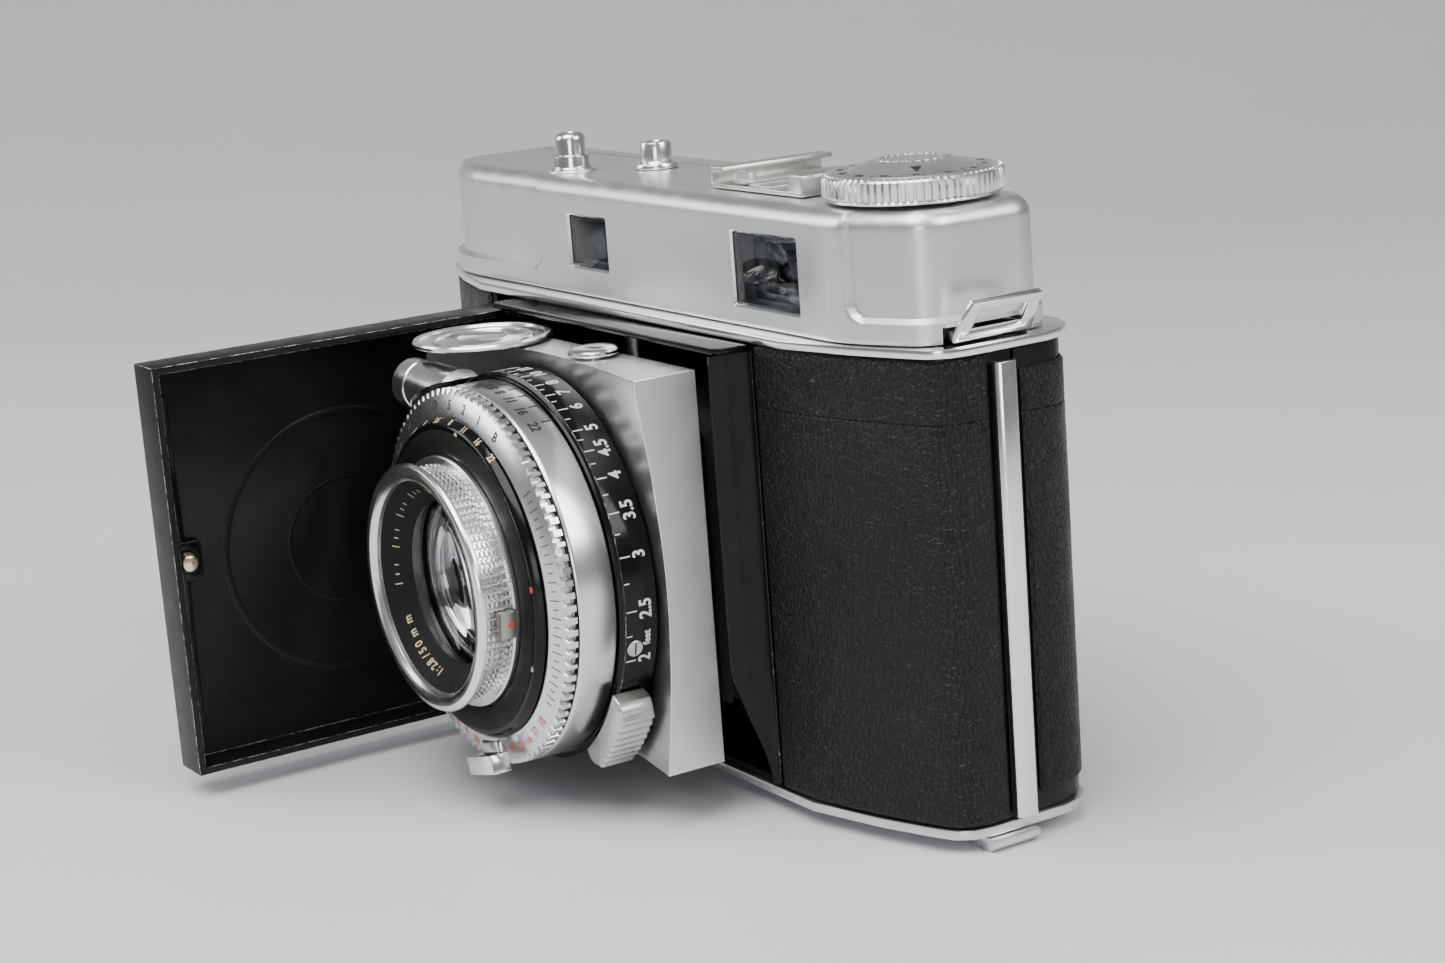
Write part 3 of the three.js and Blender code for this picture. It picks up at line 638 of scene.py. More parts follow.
bpy.context.scene.collection.objects.link(floor)

# ------------------------------------------------------------------ bodies of the CAD nodes
BODY_OF, SLOT_OF = {}, {}
for _body, _ns in frame["record"]["behaviour"]["bodies"].items():
    for _n in _ns:
        BODY_OF[_n] = _body
for _sp in frame["record"].get("subparts", []):
    if isinstance(_sp, dict) and _sp.get("material_slot"):
        SLOT_OF[_sp["node"]] = _sp["material_slot"]
DONE = set()


def dress(node, mat, bevel=0.15, seg=2, sharp=32, angle=30, name=None):
    """A rounded-edge copy of a CAD node, standing for it."""
    DONE.add(node)
    me = NODES[node].data.copy()
    me.materials.clear()
    for a in ("custom_normal",):
        if me.attributes.get(a):
            me.attributes.remove(me.attributes[a])
    bm = bmesh.new()
    bm.from_mesh(me)
    bmesh.ops.remove_doubles(bm, verts=bm.verts, dist=2e-6)
    bmesh.ops.dissolve_limit(bm, angle_limit=math.radians(1.0), verts=bm.verts, edges=bm.edges)
    bmesh.ops.recalc_face_normals(bm, faces=bm.faces)
    for f in bm.faces:
        f.material_index = 0
    bm.to_mesh(me)
    bm.free()
    ob = finish_mesh(name or node + "_skin", me, mat, BODY_OF[node], (node,), sharp)
    if bevel:
        bevelled(ob, bevel, seg, angle)
        ob.data.set_sharp_from_angle(angle=math.radians(sharp))
    return ob

# ------------------------------------------------------------------ top cover
def wear(base, name, metal=(0.58, 0.57, 0.56), amount=0.5):
    """Worn paint for the narrow faces along an edge: bare metal shows through in patches."""
    k = Mat(name, base, 0.3)
    mask = k.grey(k.noise(620, 5, 0.72, stretch=(1, 1, 1)), [(0.62 - amount * 0.3, 0.0), (0.70 - amount * 0.25, 1.0)])
    k.colour(k.mix(mask, base, metal))
    k.link(mask, k.b.inputs["Metallic"])
    k.rough(k.grey(k.noise(400, 3, 0.6), [(0.3, 0.22), (0.8, 0.42)]))
    return k.m


RUBBED = wear((0.012, 0.012, 0.013), "rubbed_edge_mat", amount=0.55)
RUBBED_SOFT = wear((0.012, 0.012, 0.013), "rubbed_edge_soft_mat", (0.34, 0.33, 0.32), 0.35)


def edge_wear(ob, mat, width, seg=2, angle=30):
    ob.data.materials.append(mat)
    mod = ob.modifiers.new("bevel", "BEVEL")
    mod.width, mod.segments = width / 1000.0, seg
    mod.limit_method, mod.angle_limit = "ANGLE", math.radians(angle)
    mod.use_clamp_overlap = True
    mod.material = 1
    bake(ob)
    return ob


BLK = [(-50.5, -13.0), (50.5, -13.0), (60.2, -8.4), (61.9, -5.0), (61.9, 8.0), (60.8, 10.4), (57.0, 12.8), (-57.0, 12.8), (-60.8, 10.4), (-61.9, 8.0), (-61.9, -5.0), (-60.2, -8.4)]
cov = resample(fillet(BLK, [5, 5, 2.2, 2.6, 1.6, 1.6, 2, 2, 1.6, 1.6, 2.6, 2.2], 5), 0.42)
covn = []
for _i, _p in enumerate(cov):
    _a, _c = cov[_i - 2], cov[(_i + 2) % len(cov)]
    _e = Vector((_c[0] - _a[0], _c[1] - _a[1])).normalized()
    covn.append((-_e.y, _e.x))


def recess(x, z):
    """How far the cover's ends step back beside the raised middle block, above their foot flange."""
    dx, dz = (x - 51.0 if x > 0 else -25.0 - x), z - 67.6
    r = 2.4
    if dx < r and dz < r:
        d = r - math.hypot(r - dx, r - dz)
    else:
        d = min(dx, dz)
    return 0.95 * smooth(d, -0.20, 0.26)


def cover_ring(z, inset, rec=True):
    out = []
    for p, n in zip(cov, covn):
        k = inset + (recess(p[0], z) if rec else 0)
        out.append((p[0] + n[0] * k, p[1] + n[1] * k, z))
    return out


rings = [cover_ring(79.6, 4.0, False), cover_ring(79.6, 1.9, False), cover_ring(64.7, 1.9, False), cover_ring(64.7, 1.0, False), cover_ring(64.7, 0.25, False), cover_ring(64.78, 0.08, False), cover_ring(64.95, 0.0)]
z = 65.4
while z < 78.6:
    rings.append(cover_ring(z, 0.0))
    z += 0.28 if 66.8 < z < 71 else 0.7
R = 2.3
for j in range(0, 13):
    t = PI / 2 * j / 12
    rings.append(cover_ring(81.0 - R + R * math.sin(t), R * (1 - math.cos(t)) ** 0.94))
rings += [cover_ring(81.0, 2.7), cover_ring(81.0, 3.4), cover_ring(81.0, 4.6)]
v, f = loops(rings)
top = make("top_cover_shell", v, f, SATIN, "body", ("top_cover",), sharp=38)
DONE.add("top_cover")
cut(top, [tool_box(26.45, 41.85, -16, -9.8, 67.1, 77.15, 0.5), tool_box(-16.25, -5.25, -16, -9.8, 68.45, 76.25, 0.5),
          tool_cyl("Y", (34.0, 72.2), 3.6, 8, 20), tool_cyl("Z", (49.3, 0), 2.7, 60, 90), tool_cyl("Z", (-24.0, -7.0), 2.5, 60, 90), tool_cyl("Z", (-13.6, 1.0), 2.25, 60, 90),
          tool_box(59.6, 70, -5.75, 6.95, 64, 66.75), tool_box(-70, -59.6, -5.75, 6.95, 64, 66.75)], sharp=38)

# bright bevels round the two front windows, the panes behind them and the dark finder inside
for nm, (x0, x1, z0, z1) in {"viewfinder": (26.45, 41.85, 67.1, 77.15), "rangefinder": (-16.25, -5.25, 68.45, 76.25)}.items():
    o, i = rrect(x0, x1, z0, z1, 0.5, 4), rrect(x0 + 0.28, x1 - 0.28, z0 + 0.28, z1 - 0.28, 0.35, 4)
    rr = [[(p[0], -12.98, p[1]) for p in o], [(p[0], -12.66, p[1]) for p in i], [(p[0], -12.0, p[1]) for p in i], [(p[0], -12.0, p[1]) for p in o], [(p[0], -12.98, p[1]) for p in o]]
    v, f = loops(rr, (False, False))
    make(nm + "_bevel", v, f, POLISH, "body")
rslab("viewfinder_pane", rrect(26.8, 41.5, 67.45, 76.8, 0.3), "XZ", -12.55, -12.1, PANE, "body", ("viewfinder_window",), 0.08)
rslab("rangefinder_pane", rrect(-15.9, -5.6, 68.8, 75.9, 0.3), "XZ", -12.55, -12.1, PANE, "body", ("rangefinder_window",), 0.08)
DONE.update(("viewfinder_window", "rangefinder_window", "viewfinder_mask"))


def window_frame(name, o, i, y0, y1, mat, **kw):
    rr = [[(p[0], y0, p[1]) for p in o], [(p[0], y0, p[1]) for p in i], [(p[0], y1, p[1]) for p in i], [(p[0], y1, p[1]) for p in o], [(p[0], y0, p[1]) for p in o]]
    v, f = loops(rr, (False, False))
    ob = make(name, v, f, mat, "body", kw.get("replaces", ()))
    return bevelled(ob, 0.12)


window_frame("finder_mask_outer", rrect(26.0, 42.3, 66.6, 77.6, 0.4), rrect(29.9, 41.0, 68.3, 76.0, 0.6), -11.2, -10.4, DUSK, replaces=("viewfinder_mask",))
window_frame("finder_mask_middle", rrect(26.4, 42.0, 67.0, 77.2, 0.4), rrect(31.0, 40.0, 69.1, 75.1, 0.5), -10.2, -9.4, GREYLENS)
window_frame("finder_mask_inner", rrect(26.4, 42.0, 67.0, 77.2, 0.4), rrect(32.4, 38.4, 70.2, 73.9, 0.5), -9.2, -8.6, DUSK)
rslab("finder_back", rrect(26.4, 42.0, 67.0, 77.2, 0.4), "XZ", -8.3, -7.9, GREYLENS, "body", (), 0.1)
window_frame("rangefinder_mask", rrect(-16.6, -4.9, 67.9, 76.8, 0.4), rrect(-14.4, -7.0, 69.8, 75.0, 0.4), -11.6, -10.8, DUSK)
rslab("rangefinder_back", rrect(-16.6, -4.9, 67.9, 76.8, 0.4), "XZ", -10.4, -10.0, GREYLENS, "body", (), 0.1)

# ------------------------------------------------------------------ body covering
HALF = [(40, -15.1), (51, -12.3), (58.5, -9.6), (61.6, -8.2), (63.1, -6.2), (63.6, -3.6), (63.6, 8.2), (62.8, 11.0), (60.6, 13.5), (57.2, 14.9)]
BODY_OUT = fillet([(p[0], p[1]) for p in HALF] + [(-p[0], p[1]) for p in reversed(HALF)], [14, 6, 2.2, 1.6, 2, 3, 3, 2.2, 2.2, 2.4] + [2.4, 2.2, 2.2, 3, 3, 2, 1.6, 2.2, 6, 14], 6)


def strip_of(keep, step=0.5):
    """The run of the body's outline that keep() accepts, as an open line."""
    pts = resample(BODY_OUT, step)
    n = len(pts)
    ok = [keep(p) for p in pts]
    start = next(i for i in range(n) if ok[i] and not ok[i - 1])
    run = []
    i = start
    while ok[i % n]:
        run.append(pts[i % n])
        i += 1
    return run


def hide_panel(name, keep, z0, z1, thick, mat, body, replaces, groove=None, puff=0.0):
    """Leather glued round the body: rounded cut edges, slightly uneven, with an embossed line near the top."""
    run = strip_of(keep)
    zs = [z0, z0 + 0.06, z0 + 0.2, z0 + 0.45]
    z = z0 + 1.0
    while z < z1 - 0.8:
        zs.append(z)
        z += 0.9
    if groove:
        zs += [groove + d for d in (-0.5, -0.34, -0.2, -0.08, 0.0, 0.08, 0.2, 0.34, 0.5)]
    zs = sorted(set(zs + [z1 - 0.45, z1 - 0.2, z1 - 0.06, z1]))
    zs = [z for k, z in enumerate(zs) if k == 0 or z - zs[k - 1] > 0.03]
    n = len(run)
    nrm = []
    for i in range(n):
        a, c = run[max(0, i - 1)], run[min(n - 1, i + 1)]
        e = Vector((c[0] - a[0], c[1] - a[1])).normalized()
        nrm.append((-e.y, e.x))
    verts, faces = [], []
    for i, (p, q) in enumerate(zip(run, nrm)):
        de = min(i, n - 1 - i) * 0.5
        for z in zs:
            dz = min(z - z0, z1 - z)
            e = min(de, dz)
            k = 0.30 * (1 - smooth(e, 0, 0.45)) + 0.02
            if groove:
                k += 0.16 * math.exp(-((z - groove) / 0.14) ** 2) - 0.0 * z
            k += 0.035 * noise.noise(Vector((p[0] * 0.35, p[1] * 0.35, z * 0.35)))
            verts.append((p[0] + q[0] * k, p[1] + q[1] * k, z))
    m_ = len(zs)
    base = len(verts)
    for p, q in zip(run, nrm):
        for z in zs:
            verts.append((p[0] + q[0] * thick, p[1] + q[1] * thick, z))
    for i in range(n - 1):
        for j in range(m_ - 1):
            a = i * m_ + j
            faces.append((a, a + m_, a + m_ + 1, a + 1))
            faces.append((base + a, base + a + 1, base + a + m_ + 1, base + a + m_))
    for j in range(m_ - 1):
        a, b = j, (n - 1) * m_ + j
        faces.append((a, a + 1, base + a + 1, base + a))
        faces.append((b + 1, b, base + b, base + b + 1))
    for i in range(n - 1):
        a, b = i * m_, i * m_ + m_ - 1
        faces.append((a + m_, a, base + a, base + a + m_))
        faces.append((b, b + m_, base + b + m_, base + b))
    for r in replaces:
        DONE.add(r)
    return make(name, verts, faces, mat, body, replaces, sharp=50)


hide_panel("leather_front_right", lambda p: p[0] > 33.0 and p[1] < -0.7, 3.6, 62.9, 0.5, LEATHER, "body", ("front_leather_right",), 55.0)
hide_panel("leather_front_left", lambda p: p[0] < -38.1 and p[1] < -0.7, 3.6, 62.9, 0.5, LEATHER, "body", ("front_leather_left",), 55.0)
hide_panel("leather_back", lambda p: p[1] > 3.95 and p[0] > -58.9, 5.9, 60.5, 0.45, LEATHER, "back_door", ("back_leather",), 55.0)

rslab("leather_edge_worn", fillet([(32.99, -15.28), (33.12, -15.3), (33.16, -15.12), (33.02, -15.05)], 0.03, 2), "XY", 4.2, 62.3, wear((0.010, 0.010, 0.010), "scuffed_leather_edge_mat", (0.42, 0.40, 0.37), 0.15), "body", (), 0.03)

# black frame round the lens bay: a lip that leans in at its foot, and a narrow shelf under the cover
rings = []
for k in range(0, 41):
    z = 3.7 + (62.2 - 3.7) * k / 40
    d = 5.4 * smooth(z, 3.0, 22.0)
    rings.append([(31.25, -14.7, z), (31.25, -15.0 - d * 0.98, z), (31.32, -15.25 - d, z), (31.52, -15.42 - d, z), (31.78, -15.38 - d, z), (31.98, -15.18 - d * 0.96, z),
                  (32.2, -15.1 - d * 0.62, z), (32.55, -15.0 - d * 0.24, z), (32.98, -14.98 - 0.2, z), (32.98, -14.7, z)])
v, f = loops(rings)
make("bay_lip_right", v, f, GLOSS, "body", sharp=40)
rslab("bay_shelf", [(-29.0, -14.7), (-29.0, -19.0), (-28.4, -19.6), (31.4, -20.2), (32.4, -19.6), (32.98, -16.2), (32.98, -14.7)][::-1][::-1], "XY", 62.3, 63.15, GLOSS, "body", (), 0.2)

# ------------------------------------------------------------------ lens: turned parts
LS = "lens_standard"


def ring(name, prof, mat, body, slot, replaces=(), n=160, r=0.15, seg=2, closed=True, rmod=None, sharp=34):
    DONE.update(replaces)
    return lathe(name, fillet(prof, r, seg, closed) if r else prof, "Y", (0.0, AX), mat, body, slot, replaces, n, rmod, sharp, closed)


ring("barrel", [(14.6, -39.3), (25.7, -39.3), (25.9, -38.9), (25.9, -33.9), (21.6, -33.9), (21.6, -27.8), (18.9, -27.8), (18.9, -22.65), (14.6, -22.65)], TURNED, LS, "satin_chrome", ("shutter_barrel",))
ring("focus_scale_ring", [(21.9, -33.6), (26.15, -33.6), (26.25, -33.25), (26.8, -33.05), (26.8, -28.3), (26.3, -27.9), (21.9, -27.9)], GLOSS, "focus_ring", "black_enamel", ("focus_ring",), r=0.12)
ring("focus_edge_rub", [(26.74, -33.12), (26.83, -33.08), (26.83, -32.99), (26.74, -33.0)], RUBBED_SOFT, "focus_ring", "black_enamel", r=0.02)


def teeth(count, depth, duty=0.55, rows=None):
    def f_(i, r, a, t):
        if rows is not None and i not in rows:
            return r
        ph = (t * count / (2 * PI)) % 1.0
        return r - (depth if ph > duty else 0.0)
    return f_


# speed ring: conical scale face, with square teeth along its rear edge
sp = [(19.6, -41.9), (22.25, -41.92), (22.4, -41.88), (24.95, -41.12), (25.1, -41.02), (25.8, -40.85), (25.8, -39.6), (25.1, -39.52), (19.6, -39.52)]
DONE.add("speed_ring")
lathe("speed_scale_ring", sp, "Y", (0.0, AX), TURNED, "speed_ring", "satin_chrome", ("speed_ring",), 98 * 6, teeth(98, 0.95, 0.55, (5, 6)), 30, True)
ring("tooth_shadow_ring", [(24.2, -39.49), (25.5, -39.49), (25.5, -39.33), (24.2, -39.33)], MATTE, LS, "black_enamel", r=0.03)
ring("aperture_scale_ring", [(17.9, -43.15), (20.4, -43.2), (21.2, -43.2), (21.45, -42.95), (22.0, -42.2), (19.3, -42.2), (19.3, -39.7), (17.9, -39.7)], GLOSS, "aperture_ring", "black_enamel", ("aperture_ring",), r=0.1)


# front cell: a fine square knurl between a polished rim and a plain flange
prof, high = [(12.5, -41.9), (12.5, -44.2), (11.6, -44.55), (14.45, -47.55), (14.55, -48.2), (14.9, -48.62), (15.5, -48.86), (16.1, -48.9), (16.65, -48.72), (16.9, -48.35), (16.88, -48.0), (16.6, -47.75), (16.1, -47.65)], set()
yy = -47.6
for k in range(5):
    for dy, rr_, hi_ in ((0.0, 15.6, 0), (0.12, 16.12, 1), (0.45, 16.12, 1), (0.57, 15.6, 0)):
        if hi_:
            high.add(len(prof))
        prof.append((rr_, yy + dy))
    yy += 0.68
prof += [(16.4, -44.15), (17.0, -44.1), (17.2, -43.9), (17.25, -43.0), (17.5, -42.8), (17.5, -41.9)]
DONE.add("front_cell")
lathe("front_cell_knurled", prof, "Y", (0.0, AX), KNURL, LS, "satin_chrome", ("front_cell",), 88 * 6, teeth(88, 0.5, 0.6, high), 30, True)
ring("front_rim_bright", [(14.62, -48.24), (14.95, -48.66), (15.5, -48.89), (16.1, -48.9), (16.66, -48.74), (16.92, -48.36), (16.6, -48.4), (15.5, -48.5)], POLISH, LS, "polished_chrome", r=0.03)
ring("name_cone", [(14.52, -47.7), (14.4, -47.66), (11.35, -44.72), (11.2, -44.5), (11.35, -44.42), (14.55, -47.45)], MATTE, LS, "black_enamel", r=0.02)
ring("cell_seat", [(17.55, -43.35), (20.6, -43.3), (20.6, -43.15), (17.9, -42.3), (17.55, -42.3)], MATTE, "aperture_ring", "black_enamel", r=0.05)

# glass: front group with its crowned face, an inner group, and the stepped black throat
LENS2 = glass("inner_glass_mat", (0.94, 0.93, 0.97), 0.01, 1.6)
DONE.add("front_element")
lathe("front_glass", [(0.0, -44.25)] + [(r, -44.25 + 2.3 * (r / 12.1) ** 2) for r in (1, 2, 3, 4, 5, 6, 7, 8, 9, 10, 11, 12.0)] + [(12.0, -40.9), (8, -40.3), (4, -40.05), (0.0, -40.0)], "Y", (0.0, AX), LENS, LS, "glass", ("front_element",), 128)
ring("glass_seat_a", [(12.05, -42.6), (12.4, -42.6), (12.4, -38.9), (10.9, -38.9), (10.9, -39.3), (12.05, -39.7)], GLOSS, LS, "black_enamel", r=0.08)
ring("glass_seat_b", [(9.4, -38.7), (12.4, -38.7), (12.4, -36.4), (9.4, -36.4)], GLOSS, LS, "black_enamel", r=0.12)
ring("glass_ring_bright", [(10.75, -39.02), (11.0, -39.06), (11.0, -38.8), (10.75, -38.8)], WORN, LS, "steel", r=0.03)
lathe("inner_glass", [(0.0, -37.2), (3, -37.35), (6, -37.8), (9.2, -38.6), (9.2, -36.9), (6, -36.7), (3, -36.6), (0.0, -36.55)], "Y", (0.0, AX), LENS2, LS, "glass", (), 96)
DONE.add("shutter_blades")
v, f = [], []
NB = 5
for b in range(NB):
    o = len(v)
    a0 = 2 * PI * b / NB
    pts = [(12.3 * math.cos(a0 + s), 12.3 * math.sin(a0 + s)) for s in [2 * PI / NB * q / 10 * 1.0 for q in range(11)]]
    poly = [(0.35 * math.cos(a0 - 0.9), 0.35 * math.sin(a0 - 0.9))] + pts
    for y in (-36.1 + 0.0 * b, -36.02 + 0.0 * b):
        v += [(p[0], y, AX + p[1]) for p in poly]
    n = len(poly)
    f += [tuple(o + k for k in range(n)), tuple(o + n + k for k in reversed(range(n)))]
    f += [(o + k, o + n + k, o + n + (k + 1) % n, o + (k + 1) % n) for k in range(n)]
make("shutter_leaves", v, f, MATTE, LS, ("shutter_blades",))

# ------------------------------------------------------------------ engraved scales
def upy(a):
    return (0.0, a)


def mark(g, t, r, y, up, sense):
    return (g, math.radians(t), (r, y), up, sense)


FR, FY = 26.8, -30.0
feet = [("2", -18.0), ("2.5", -3.0), ("3", 12.5), ("3.5", 25.0), ("4", 35.5), ("4.5", 44.5), ("5", 52.0), ("6", 61.0), ("7", 68.5), ("8", 75.0), ("10", 83.0), ("12", 91.0), ("15", 99.0), ("20", 109.0), ("30", 120.0), ("50", 131.0)]
items = [mark(glyph(s, 2.5, 0.06, 0.9), t, FR, FY, upy(-1.0), 1) for s, t in feet]
items.append(mark(glyph("feet", 1.5, 0.06, 0.9), -11.8, FR, FY + 0.15, upy(-1.0), 1))
ticks = []
for k, (s, t) in enumerate(feet):
    ticks.append(mark(bar(0.17, 1.5, 0.06), t - 0.3, FR, -32.15, upy(-1.0), 1))
    if k + 1 < len(feet):
        ticks.append(mark(bar(0.15, 0.75, 0.06), (t + feet[k + 1][1]) / 2, FR, -32.5, upy(-1.0), 1))
wrap("focus_numbers", items + ticks, WHITE, "focus_ring")
DONE.add("focus_ring")
# a screw head set in the ring beside the grip; its slot is not cut but painted as a black bar of shade
sv, sf = lathe_vf([(0, 26.62), (1.05, 26.62), (1.15, 26.8), (1.05, 26.92), (0, 26.95)], "X", (0, 0), 32)
sc = []
for x_, y_, z_ in sv:
    t = math.radians(-14.5)
    sc.append((x_ * math.cos(t) - z_ * math.sin(t), y_ - 31.6, AX + x_ * math.sin(t) + z_ * math.cos(t)))
make("focus_screw", sc, sf, WORN, "focus_ring")
# painted shade: a flat black bar on the head stands in for the dark inside of the screw slot
wrap("focus_screw_slot_painted_shade", [mark(bar(1.7, 0.22, 0.06), -14.5, 26.97, -31.6, (0.0, -1.0), 1)], INK, "focus_ring")

dof = [("22", 58.0), ("16", 66.0), ("11", 73.0), ("8", 79.0), ("5.6", 85.0), ("4", 91.5), ("2.8", 98.0), ("4", 104.5), ("5.6", 111.0), ("8", 117.0), ("11", 123.0), ("16", 130.0), ("22", 138.0)]
items = [mark(glyph(s, 2.1, 0.06, 0.85), t, 25.9, -37.0, upy(1.0), -1) for s, t in dof]
for k, (s, t) in enumerate(dof):
    items.append(mark(bar(0.2, 1.6, 0.06), t + (98.0 - t) * 0.035, 25.9, -34.8, upy(1.0), -1))
wrap("depth_numbers", items, INK, LS)

# speed scale on the cone, with the exposure values below in red
ca = math.hypot(2.55, 0.76)
cone_up = (2.55 / ca, 0.76 / ca)
speeds = [("B", 62.0), ("1", 73.0), ("2", 83.0), ("5", 93.0), ("10", 104.0), ("25", 116.0), ("50", 128.0), ("100", 141.0), ("250", 155.0), ("500", 169.0)]
items = [mark(glyph(s, 1.9, 0.05, 0.9), t, 23.7, -41.50, cone_up, -1) for s, t in speeds]
items += [mark(bar(0.15, 1.0, 0.05), t, 22.0, -41.95, (1.0, 0.0), -1) for t in ()]
for k in range(26):
    items.append(mark(bar(0.13, 0.9 if k % 2 else 1.6, 0.05), 38.0 - 2.9 * k, 23.7, -41.50, cone_up, -1))
wrap("speed_numbers", items, INK, "speed_ring")
evs = [str(k) for k in range(18, 1, -1)]
items = [mark(glyph(s, 1.75, 0.05, 0.9), -44.0 - 6.6 * k, 23.7, -41.50, (-cone_up[0], -cone_up[1]), 1) for k, s in enumerate(evs)]
wrap("exposure_values", items, ORANGE, "speed_ring")

stops = [("22", 58.0), ("16", 68.0), ("11", 78.0), ("8", 88.0), ("5.6", 98.5), ("4", 109.0), ("2.8", 119.5)]
items = [mark(glyph(s, 1.35, 0.05, 0.85), t, 21.72, -42.56, (0.59, 0.80), -1) for s, t in stops]
wrap("aperture_numbers", items, CREAM, "aperture_ring")
wrap("aperture_dots", [mark(dot(0.38, 0.1), 81.0, 20.7, -43.2, (1.0, 0.0), -1), mark(dot(0.38, 0.1), -24.0, 20.7, -43.2, (1.0, 0.0), -1)], CREAM, "aperture_ring")
wrap("aperture_red_dot", [mark(dot(0.42, 0.1), 7.0, 20.8, -43.2, (1.0, 0.0), -1)], RED, "aperture_ring")

na = math.hypot(3.05, 2.94)
nup = (3.05 / na, -2.94 / na)
items = []
for s, t in (("1", 200.0), (":", 196.5), ("2.8", 189.5), ("/", 181.0), ("5", 176.0), ("0", 170.5), ("m", 162.5), ("m", 153.0)):
    items.append(mark(glyph(s, 1.65, 0.05, 0.95), t + 60, 12.85, -46.16, nup, -1))
for k in range(40):
    t = 190.0 - 6.0 * k
    if k % 4 != 3:
        items.append(mark(bar(0.16, 1.1 if k % 4 == 0 else 0.6, 0.05, 2), t, 12.85, -46.16, nup, -1))
wrap("cell_marks", items, CREAM, LS)

# ------------------------------------------------------------------ smaller lens parts
DONE.add("focus_grip")
grip = []
NR = 10
for i in range(NR * 6 + 1):
    a = -0.955 + 0.46 * i / (NR * 6)
    e = min(i, NR * 6 - i) / 6.0
    r = 30.9 - 0.32 * (1 + math.cos(2 * PI * i / 6)) * 0.5 - 1.6 * (1 - smooth(e, 0, 1.4))
    grip.append((r * math.cos(a), AX + r * math.sin(a)))
inner = [(27.15 * math.cos(-0.495 - 0.46 * i / 12), AX + 27.15 * math.sin(-0.495 - 0.46 * i / 12)) for i in range(13)]
plate("focus_grip_ribbed", grip + inner, "XZ", [(0.35, -34.6), (0.12, -34.5), (0.03, -34.3), (0.0, -34.0), (0.0, -30.0), (0.05, -29.7), (0.18, -29.5), (0.4, -29.4)], WORN, "focus_ring", ("focus_grip",), sharp=45)

soc = [(0.0, -18.0), (0.9, -17.7), (1.0, -17.6), (2.6, -17.6), (2.72, -17.8), (2.72, -19.3), (2.95, -19.58), (3.3, -19.55), (3.58, -19.2), (3.6, -18.6), (3.6, -16.0), (3.45, -15.8), (3.45, -15.5), (3.6, -15.3), (3.6, -5.0), (0.0, -5.0)]
DONE.add("sync_socket")
s = lathe("flash_socket", soc, "X", (-37.6, 55.4), POLISH, LS, "polished_chrome", ("sync_socket",), 96)
cut(s, [tool_cyl("Y", (0, AX), 26.6, -60, 0, 160), tool_box(-30, 0, -60, 0, 60.5, 80)])
lathe("flash_socket_core", [(0.0, -18.7), (0.5, -18.65), (0.7, -18.4), (0.7, -17.9), (0.0, -17.8)], "X", (-37.6, 55.4), BRASS, LS, "brass", (), 32)
lathe("flash_socket_insert", [(0.9, -17.9), (2.5, -17.9), (2.5, -17.72), (0.9, -17.72)], "X", (-37.6, 55.4), MATTE, LS, "black_enamel", (), 48, closed=True)

DONE.add("strut_disc")
lathe("dished_disc", [(0.0, 60.78), (9.6, 60.78), (9.8, 60.95), (9.8, 61.3), (9.6, 61.55), (9.2, 61.6), (8.85, 61.5), (8.6, 61.22), (7.3, 61.12), (7.1, 61.3), (6.8, 61.34), (6.55, 61.3), (6.35, 61.1), (4.0, 61.16), (3.8, 61.28), (3.5, 61.3), (3.3, 61.18), (0.0, 61.22)], "Z", (-13.6, -29.3), POLISH, LS, "polished_chrome", ("strut_disc",), 128)
for up, nm, q in ((1, "close_button_top", 1.25), (-1, "close_button_bottom", 1.0)):
    z0 = 60.5 if up > 0 else 7.9
    DONE.add(nm)
    lathe(nm + "_dome", [(0.0, z0 - up * 2.4), (1.2, z0 - up * 2.4), (1.35, z0 - up * 2.2), (1.35, z0 + up * 0.3), (2.7 * q, z0 + up * 0.32), (2.8 * q, z0 + up * 0.5), (2.78 * q, z0 + up * 0.86), (2.6 * q, z0 + up * 1.1), (2.1 * q, z0 + up * 1.28), (1.2 * q, z0 + up * 1.4), (0.0, z0 + up * 1.45)], "Z", (9.6, -24.9), POLISH, nm, "polished_chrome", (nm,), 64)
rslab("lever_tip_green", fillet([(-22.55, 9.9), (-21.6, 9.0), (-20.3, 9.25), (-20.0, 10.6), (-21.6, 11.6)], 0.4, 3), "XZ", -38.98, -37.82, GREEN, "timer_lever", (), 0.12)
wrap("index_red_dot", [mark(dot(0.5, 0.12), -7.4, 17.86, -44.95, (0.0, -1.0), 1)], RED, LS)

# ------------------------------------------------------------------ top controls
DONE.update(("rewind_knob", "reminder_dial", "release_collar", "release_button", "cable_socket"))
KX, KY = 49.3, 0.0
kp = [(0.0, 81.4), (10.6, 81.4), (10.95, 81.5), (11.05, 81.7), (10.95, 81.88), (10.8, 81.92), (11.3, 82.0), (11.4, 82.2), (11.4, 84.3), (11.2, 84.55), (10.75, 84.68), (10.2, 84.7), (9.98, 84.5), (9.95, 84.32), (0.0, 84.3)]
lathe("rewind_knob_knurled", kp, "Z", (KX, KY), POLISH, "rewind_knob", "polished_chrome", ("rewind_knob",), 74 * 6, teeth(74, 0.55, 0.6, (6, 7, 8, 9)), 30)
lathe("rewind_shaft", [(0.0, 60.3), (2.1, 60.3), (2.2, 60.4), (2.2, 62.1), (2.1, 62.2), (1.6, 62.2), (1.6, 81.38), (0.0, 81.38)], "Z", (KX, KY), WORN, "rewind_knob", "steel", (), 48)
rslab("rewind_fork", rrect(KX - 0.7, KX + 0.7, KY - 2.2, KY + 2.2, 0.3), "XY", 57.6, 60.28, WORN, "rewind_knob", (), 0.15)
